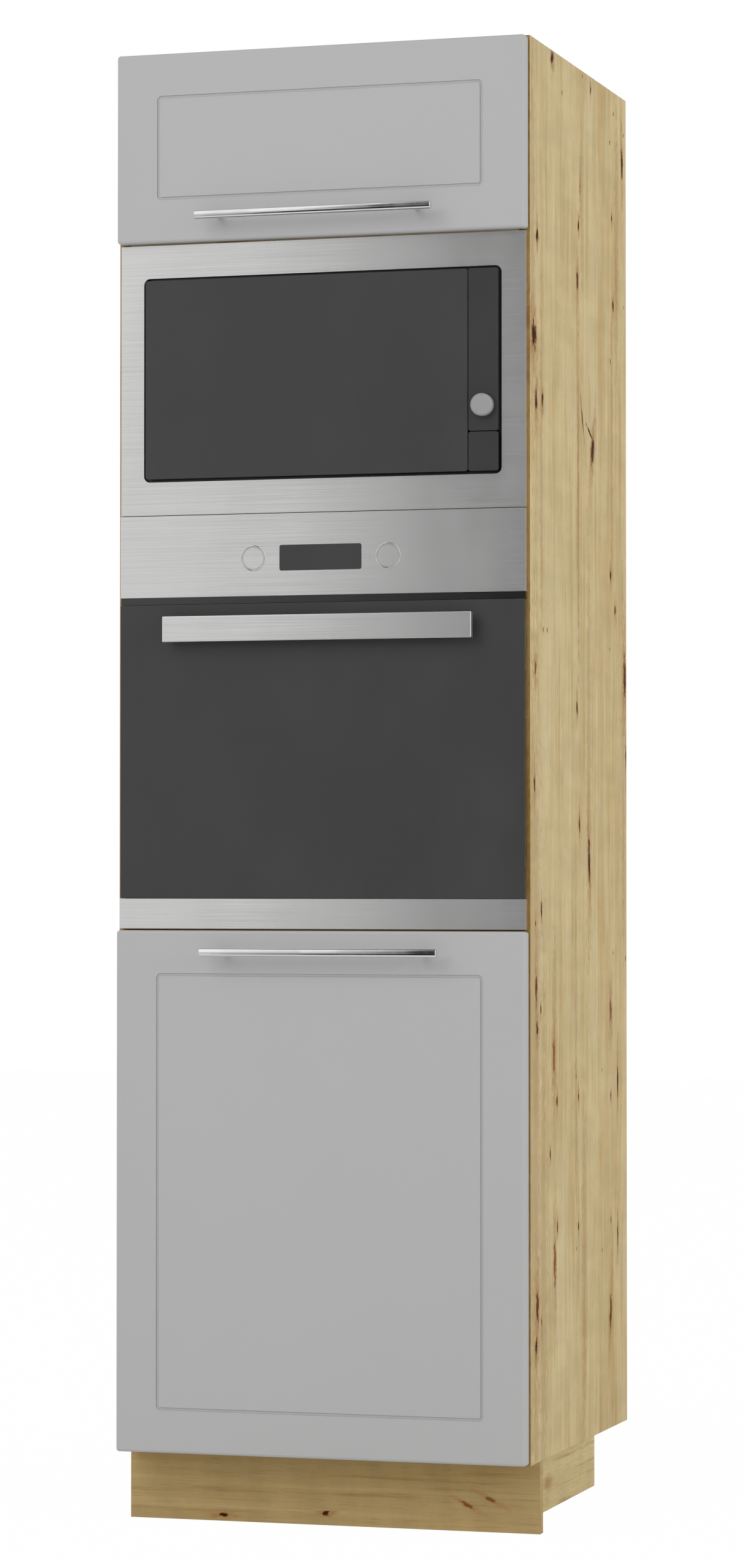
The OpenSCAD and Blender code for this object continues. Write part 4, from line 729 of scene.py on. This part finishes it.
def screw_head(shape, place, facing, width=6.6, height=2.0):
    """A pan head with a cross-shaped recess, sized in mm."""
    r = width / 2
    skirt = [(0, 0), (r, 0), (r, 0.35 * height), (0.86 * r, 0.85 * height), (0.62 * r, height)]
    rim = turned(shape, skirt, place, facing)[-1]
    arm, half = 0.5 * r, 0.13 * r
    quarter = [(arm, -half), (arm, half), (half, half)]
    cross = []
    for x, y in quarter * 4:
        turns = len(cross) // len(quarter)
        for _ in range(turns):
            x, y = -y, x
        cross.append((x, y))
    at = stand(place, facing)
    mouth, floor = (
        [shape.verts.new(at(x * share, y * share, level * height)) for x, y in cross]
        for share, level in ((1.0, 1.0), (0.75, 0.35)))
    join_rings(shape, mouth, floor)
    shape.faces.new(floor)
    loops = [shape.edges.get((ring[i - 1], ring[i])) for ring in (rim, mouth) for i in range(len(ring))]
    bmesh.ops.triangle_fill(shape, edges=loops, use_beauty=True)


def screws(name, body, slot, heads, **size):
    """Screw heads at (place, facing) pairs."""
    shape = bmesh.new()
    for place, facing in heads:
        screw_head(shape, place, facing, **size)
    add_piece(name, shape, body, slot)


def soft_block(shape, low, high, radius=0.6):
    """A block between two corners in mm of the local frame, with rounded edges."""
    low, high = local(*low), local(*high)
    size = high - low
    made = bmesh.ops.create_cube(shape, size=1.0)["verts"]
    place = Matrix.Translation((low + high) / 2) @ Matrix.Diagonal((*size, 1.0))
    bmesh.ops.transform(shape, matrix=place, verts=made)
    edges = list({edge for vert in made for edge in vert.link_edges})
    bmesh.ops.bevel(shape, geom=edges, offset=radius * MM, segments=2, affect="EDGES", profile=0.5)


BACK, FORWARD = (0, 1, 0), (0, -1, 0)
DOWN, INWARD = (0, 0, -1), (1, 0, 0)

# Places that several pieces share, in mm of the local frame
DOOR_LOW, DOOR_HIGH = box_mm("lower_door")
FLAP_LOW, FLAP_HIGH = box_mm("flap_door")
DOOR_BACK = DOOR_HIGH.y
HINGE_END = 110
LOWER_HINGES = (DOOR_LOW.z + HINGE_END, DOOR_HIGH.z - HINGE_END)
FLAP_HINGES = (FLAP_LOW.x + HINGE_END, FLAP_HIGH.x - HINGE_END)


def make_hinge_screws():
    """Two screws in each mounting plate and two in each cup's ears."""
    plate_y, plate_t, spacing = 37, 3, 32
    side_face = box_mm("side_panel_left")[1].x + plate_t
    top_face = box_mm("top_panel")[0].z - plate_t
    ends = (-spacing / 2, spacing / 2)
    plates = [(local(side_face, plate_y, z + end), INWARD) for z in LOWER_HINGES for end in ends]
    plates += [(local(x + end, plate_y, top_face), DOWN) for x in FLAP_HINGES for end in ends]
    screws("hinge_plate_screws", "housing", "plated_steel", plates)

    ear_spacing = 45
    ends = (-ear_spacing / 2, ear_spacing / 2)
    low, high = box_mm("lower_hinge_cups")
    cup_x = (low.x + high.x) / 2
    lower = [(local(cup_x, high.y, z + end), BACK) for z in LOWER_HINGES for end in ends]
    screws("lower_cup_screws", "lower_door", "plated_steel", lower, width=6.0, height=1.6)
    low, high = box_mm("flap_hinge_cups")
    cup_z = (low.z + high.z) / 2
    flap = [(local(x + end, high.y, cup_z), BACK) for x in FLAP_HINGES for end in ends]
    screws("flap_cup_screws", "flap", "plated_steel", flap, width=6.0, height=1.6)


def make_lift_screws():
    """Screws of the flap's lifts: in the boxes on the sides and the brackets on the flap."""
    low, high = box_mm("lift_boxes")
    box_t, from_back, from_edge = 14, 12, 8.5
    face_x, box_y = high.x - box_t, high.y - from_back
    levels = (low.z + from_edge, high.z - from_edge)
    boxes = [(local(s * face_x, box_y, z), (-s, 0, 0)) for s in (-1, 1) for z in levels]
    screws("lift_box_screws", "housing", "plated_steel", boxes, width=6.0, height=1.4)

    low, high = box_mm("flap_lift_brackets")
    plate_x, plate_t, spacing = 247, 2, 40
    middle = (low.z + high.z) / 2
    levels = (middle - spacing / 2, middle + spacing / 2)
    brackets = [(local(s * plate_x, low.y + plate_t, z), BACK) for s in (-1, 1) for z in levels]
    screws("lift_bracket_screws", "flap", "plated_steel", brackets, width=6.0, height=1.8)


def make_handle_screws():
    """The bars' screws, seen on the doors' backs."""
    post_spacing = 288
    for body in ("lower_door", "flap"):
        low, high = box_mm(body + "_handle")
        middle, level = (low.x + high.x) / 2, (low.z + high.z) / 2
        heads = [(local(middle + s * post_spacing / 2, DOOR_BACK, level), BACK) for s in (-1, 1)]
        screws(body + "_handle_screws", body, "plated_steel", heads, width=8.0, height=2.0)


def make_bumpers():
    """Soft dots that meet the carcass edge when a door closes."""
    profile = [(0, 0), (4, 0), (4, 0.7), (3.3, 1.4), (1.8, 1.7), (0, 1.75)]
    edge_x = DOOR_HIGH.x - 6
    low_z, high_z, flap_z = 122, 808, 1822
    for body, spots in (("lower_door", ((edge_x, low_z), (edge_x, high_z))),
                        ("flap", ((-edge_x, flap_z), (edge_x, flap_z)))):
        shape = bmesh.new()
        for x, z in spots:
            turned(shape, profile, local(x, DOOR_BACK, z), BACK)
        add_piece(body + "_bumpers", shape, body, "white_plastic")


def make_wall_bracket_screws():
    """Two screws in each bracket's leg under the top panel."""
    low, high = box_mm("wall_brackets")
    width, sheet, spacing, from_front = 40, 2.5, 22, 13
    middle_x = high.x - width / 2
    heads = [(local(s * middle_x + t * spacing / 2, low.y + from_front, high.z - sheet), DOWN)
             for s in (-1, 1) for t in (-1, 1)]
    screws("wall_bracket_screws", "housing", "plated_steel", heads, width=7.0, height=2.0)


def make_panel_nails():
    """Nails along the edges of the two hardboard backs."""
    head = [(0, 0), (1.6, 0), (1.5, 0.15), (0.9, 0.25), (0, 0.28)]
    low, high = box_mm("back_panels")
    inset, pitch, columns = 5, 116, 5
    cupboard_top, flap_bottom = 834, 1800.3
    edge_x = high.x - inset
    shape = bmesh.new()
    for bottom, top in ((low.z + inset, cupboard_top), (flap_bottom, high.z - inset)):
        rows = round((top - bottom) / pitch)
        levels = [bottom + (top - bottom) * i / rows for i in range(rows + 1)]
        spots = [(s * edge_x, z) for z in levels for s in (-1, 1)]
        between = [edge_x * (2 * i / columns - 1) for i in range(1, columns)]
        spots += [(x, z) for x in between for z in (bottom, top)]
        for x, z in spots:
            turned(shape, head, local(x, high.y, z), BACK, steps=12)
    add_piece("back_panel_nails", shape, "housing", "plated_steel")


def make_casing_screws():
    """Screws in the backs of both appliances' casings, on the step round the rear bulge."""
    from_side, bulge = 16, 14
    for appliance, levels in (("oven", (866, 1120, 1376)), ("microwave", (1446, 1766))):
        high = box_mm(appliance + "_casing")[1]
        side_x, step_y = high.x - from_side, high.y - bulge
        heads = [(local(s * side_x, step_y, z), BACK) for s in (-1, 1) for z in levels]
        screws(appliance + "_casing_screws", "housing", "plated_steel", heads, height=1.8)


def make_oven_screws():
    """Fixing screws in the oven's front frame, and those of the fan cover."""
    frame_y = box_mm("oven_front_frame")[0].y
    side_x, levels = 269, (985, 1225)
    heads = [(local(s * side_x, frame_y, z), FORWARD) for s in (-1, 1) for z in levels]
    screws("oven_fixing_screws", "housing", "plated_steel", heads, width=7.0, height=1.0)

    low, high = box_mm("oven_fan_cover")
    inset = 8
    reach = (high.x - low.x) / 2 - inset
    middle_z = (low.z + high.z) / 2
    heads = []
    for angle in (45, 135, 225, 315):
        x, z = reach * math.cos(math.radians(angle)), reach * math.sin(math.radians(angle))
        heads.append((local(x, low.y, middle_z + z), FORWARD))
    screws("fan_cover_screws", "housing", "dark_enamel", heads, height=1.8)


def make_knob_rings():
    """Half-round bright rings round the two push knobs."""
    bead, ring_gap = 0.7, 0.95
    angles = [math.radians(a) for a in range(0, 181, 30)]
    section = [(bead * math.cos(a), bead * math.sin(a)) for a in angles]
    panel_front = box_mm("oven_control_panel")[0].y
    shape = bmesh.new()
    for node in ("left_knob", "right_knob"):
        low, high = box_mm(node)
        radius = (high.x - low.x) / 2 + ring_gap
        middle = local((low.x + high.x) / 2, panel_front, (low.z + high.z) / 2)
        ring = [(radius + x, y) for x, y in section]
        turned(shape, ring, middle, FORWARD, steps=72, closed=True)
    add_piece("knob_rings", shape, "housing", "bright_chrome")


def make_roller_ring():
    """The ring with three rollers that carries the glass turntable."""
    low, high = box_mm("turntable")
    cavity_floor, ring_r, ring_half = 1493.5, 95, 2.5
    roller_r, roller_w, rounding = 7.8, 8, 1
    axle_r, axle_in, axle_out = 2, 1.5, 2
    middle = local((low.x + high.x) / 2, (low.y + high.y) / 2, cavity_floor + roller_r)
    bar_out = ring_r + 2 * ring_half
    bar = [(ring_r, -ring_half), (bar_out, -ring_half), (bar_out, ring_half), (ring_r, ring_half)]
    shape = bmesh.new()
    turned(shape, bar, middle, (0, 0, 1), steps=96, closed=True)
    roller = [(0, 0), (roller_r - rounding, 0), (roller_r, rounding),
              (roller_r, roller_w - rounding), (roller_r - rounding, roller_w), (0, roller_w)]
    axle = [(0, -axle_in), (axle_r, -axle_in), (axle_r, axle_out), (0, axle_out)]
    for angle in (90, 210, 330):
        out = Vector((math.cos(math.radians(angle)), math.sin(math.radians(angle)), 0))
        foot = middle + out * (bar_out + axle_in) * MM
        turned(shape, roller, foot, out, steps=32)
        turned(shape, axle, foot, out, steps=16)
    add_piece("roller_ring", shape, "turntable", "white_plastic")


def screen_dots():
    """Sheet with a close pattern of small round holes."""
    material, tree, shader = surface("perforated_sheet", Metallic=0.6)
    here = place_of(tree)
    parts = put(tree, "ShaderNodeSeparateXYZ", {0: here}).outputs
    pitch = 2.6 * MM
    far = []
    for shift in (0.0, 0.5):
        cell = []
        for axis, stretch in ((0, 1.0), (2, math.sqrt(3))):
            turns = maths(tree, "MULTIPLY_ADD", parts[axis], 1 / (pitch * stretch), shift)
            off = maths(tree, "SUBTRACT", maths(tree, "FRACT", turns), 0.5)
            cell.append(maths(tree, "MULTIPLY", off, stretch))
        both = put(tree, "ShaderNodeCombineXYZ", {0: cell[0], 1: cell[1]}).outputs[0]
        far.append(vector_maths(tree, "LENGTH", both))
    hole = ramp(tree, maths(tree, "MINIMUM", *far), 0.26, 0.34, 1.0, 0.0)
    marks = use(tree, HANDLING_MARKS, Place=here)
    tone = tint(tree, marks["Smear"], rgb(92, 93, 95), rgb(110, 111, 113))
    tone = tint(tree, hole, tone, rgb(16, 16, 17))
    pressed = bump(tree, maths(tree, "SUBTRACT", 1.0, hole), 0.0003)
    finish(tree, shader, tone, ramp(tree, hole, 0.0, 1.0, 0.34, 0.7), pressed)
    return material


def make_door_screen():
    """The perforated sheet behind the microwave door's window, with its folded rim."""
    table_low, table_high = box_mm("turntable")
    door_low, door_high = box_mm("microwave_door")
    middle_x = (table_low.x + table_high.x) / 2
    middle_z = (door_low.z + door_high.z) / 2
    half_w, half_h, rim = 159.4, 99.4, 4
    sheet_front, sheet_back, rim_back = -8.8, -8.2, -3.4
    left, right = middle_x - half_w, middle_x + half_w
    bottom, top = middle_z - half_h, middle_z + half_h
    shape = bmesh.new()
    soft_block(shape, (left, sheet_front, bottom), (right, sheet_back, top), 0.2)
    add_piece("door_screen", shape, "microwave_door", "dark_enamel", screen_dots())
    shape = bmesh.new()
    for start in (left, right - rim):
        soft_block(shape, (start, sheet_back, bottom), (start + rim, rim_back, top))
    for start in (bottom, top - rim):
        soft_block(shape, (left + rim, sheet_back, start), (right - rim, rim_back, start + rim))
    add_piece("door_screen_rim", shape, "microwave_door", "black_plastic")


def mica_sheet():
    """Pale brown mica with its flakes."""
    material, tree, shader = surface("mica", Specular_IOR_Level=0.4)
    flakes = ramp(tree, noise(tree, place_of(tree), (160, 160, 160), 5, 0.7), 0.3, 0.7)
    tone = tint(tree, flakes, rgb(178, 166, 138), rgb(204, 194, 170))
    finish(tree, shader, tone, ramp(tree, flakes, 0.0, 1.0, 0.3, 0.5), bump(tree, flakes, 0.00005))
    return material


def make_wave_cover():
    """The mica cover on the microwave cavity's right wall, held by two studs."""
    wall_x, front, back, bottom, top = 163.35, 110, 215, 1560, 1650
    air, face, stud_inset = 0.1, 0.7, 12
    shape = bmesh.new()
    soft_block(shape, (wall_x - face, front, bottom), (wall_x - air, back, top), 0.2)
    add_piece("wave_cover", shape, "housing", "white_plastic", mica_sheet())
    stud = [(0, 0), (5, 0), (5, 0.8), (3.5, 1.8), (0, 2.1)]
    shape = bmesh.new()
    for y in (front + stud_inset, back - stud_inset):
        turned(shape, stud, local(wall_x - face, y, (bottom + top) / 2), (-1, 0, 0))
    add_piece("wave_cover_studs", shape, "housing", "white_plastic")


make_hinge_screws()
make_lift_screws()
make_handle_screws()
make_bumpers()
make_wall_bracket_screws()
make_panel_nails()
make_casing_screws()
make_oven_screws()
make_knob_rings()
make_roller_ring()
make_door_screen()
make_wave_cover()


# ---------- stage, light and camera ----------

def make_world():
    """White to the camera, soft light on matt surfaces, and a studio for the bright metals:
    white above, grey walls at eye level, and a tall dark card in front, right of the middle."""
    soft_level, white_level, wall_level, ground_left, ground_right, card_level = (
        0.60, 1.0, 0.66, 0.75, 0.66, 0.02)
    world = bpy.data.worlds.new("studio")
    bpy.context.scene.world = world
    world.use_nodes = True
    tree = world.node_tree
    tree.nodes.clear()
    look = put(tree, "ShaderNodeTexCoord").outputs["Generated"]
    x, _, z = put(tree, "ShaderNodeSeparateXYZ", {0: look}).outputs
    aside = maths(tree, "ARCSINE", maths(tree, "MULTIPLY", x, -1.0))
    up = maths(tree, "ARCSINE", z)

    # The card, as angles aside and up. Its edge leans, and is wider away from the horizon.
    card_edge, card_end, card_lean = math.radians(16.75), math.radians(-6), 0.02
    card_low, card_high = math.radians(-50), math.radians(80)
    away = maths(tree, "ABSOLUTE", up)
    wider = ramp(tree, away, math.radians(9), math.radians(17), 0.0, math.radians(1.0))
    beyond = maths(tree, "SUBTRACT", maths(tree, "MULTIPLY_ADD", up, card_lean, aside), wider)
    limits = (
        ramp(tree, beyond, card_edge - 0.002, card_edge + 0.002, 1.0, 0.0),
        ramp(tree, aside, card_end - 0.05, card_end),
        ramp(tree, up, card_low - 0.03, card_low + 0.03),
        ramp(tree, up, card_high, card_high + 0.1, 1.0, 0.0))
    card = 1.0
    for limit in limits:
        card = maths(tree, "MULTIPLY", card, limit)

    wall = ramp(tree, up, math.radians(6), math.radians(16), wall_level, white_level)
    ground = ramp(tree, beyond, card_edge - 0.02, card_edge + 0.02, ground_left, ground_right)
    wall = blend_levels(tree, ramp(tree, up, -0.1, 0.0, 1.0, 0.0), wall, ground)
    studio = blend_levels(tree, card, wall, card_level)
    path = put(tree, "ShaderNodeLightPath").outputs
    mirror = maths(tree, "MAXIMUM", path["Is Glossy Ray"], path["Is Transmission Ray"])
    level = blend_levels(tree, mirror, soft_level, studio)
    level = blend_levels(tree, path["Is Camera Ray"], level, white_level)
    back = put(tree, "ShaderNodeBackground", {"Color": (1, 1, 1, 1), "Strength": level})
    feed(tree, back.outputs[0], put(tree, "ShaderNodeOutputWorld").inputs[0])


def area_lamp(name, place, size, watts):
    """A round soft lamp turned to the unit's middle, which mirrors don't show."""
    lamp = bpy.data.lights.new(name, "AREA")
    lamp.shape = "DISK"
    lamp.size = size
    lamp.energy = watts
    holder = bpy.data.objects.new(name, lamp)
    bpy.context.scene.collection.objects.link(holder)
    holder.location = place
    holder.rotation_euler = (MIDDLE - Vector(place)).to_track_quat("-Z", "Y").to_euler()
    holder.visible_camera = False
    holder.visible_glossy = False


def make_lamps():
    area_lamp("key", place=(-3.4, -7.6, 5.6), size=7.0, watts=270)
    area_lamp("side_fill", place=(6.5, -1.5, 2.5), size=3.5, watts=115)


def make_floor():
    """A pale floor that is white to the camera and keeps the unit's soft shadow."""
    half, pale, whiteness = 14.0, 0.9, 0.985
    shape = bmesh.new()
    bmesh.ops.create_grid(shape, x_segments=8, y_segments=8, size=half)
    data = bpy.data.meshes.new("floor")
    shape.to_mesh(data)
    shape.free()
    floor = bpy.data.objects.new("floor", data)
    bpy.context.scene.collection.objects.link(floor)
    material, tree, shader = surface("pale_floor", Roughness=0.9, Specular_IOR_Level=0.1)
    shader.inputs["Base Color"].default_value = (pale, pale, pale, 1)
    path = put(tree, "ShaderNodeLightPath").outputs
    seen = maths(tree, "MAXIMUM", path["Is Camera Ray"], path["Is Transmission Ray"])
    share = maths(tree, "MULTIPLY", seen, whiteness)
    white = put(tree, "ShaderNodeEmission", {"Color": (1, 1, 1, 1), "Strength": 1.0})
    mixed = put(tree, "ShaderNodeMixShader", {0: share, 1: shader.outputs[0], 2: white.outputs[0]})
    feed(tree, mixed.outputs[0], tree.nodes["Material Output"].inputs[0])
    data.materials.append(material)
    floor.visible_glossy = False


def make_camera():
    """The photograph's camera, from its perspective, for a frame of 1213 x 2556."""
    place = (1.90288, -6.30500, 0.90709)
    upward, leftward = math.radians(1.179), math.radians(16.830)
    camera = bpy.data.cameras.new("camera")
    camera.sensor_width = 36.0
    camera.lens = 104.44
    camera.clip_end = 100.0
    holder = bpy.data.objects.new("camera", camera)
    bpy.context.scene.collection.objects.link(holder)
    holder.location = place
    holder.rotation_euler = (math.radians(90) + upward, 0, leftward)
    bpy.context.scene.camera = holder


make_world()
make_lamps()
make_floor()
make_camera()
bpy.context.scene.view_settings.view_transform = "Standard"
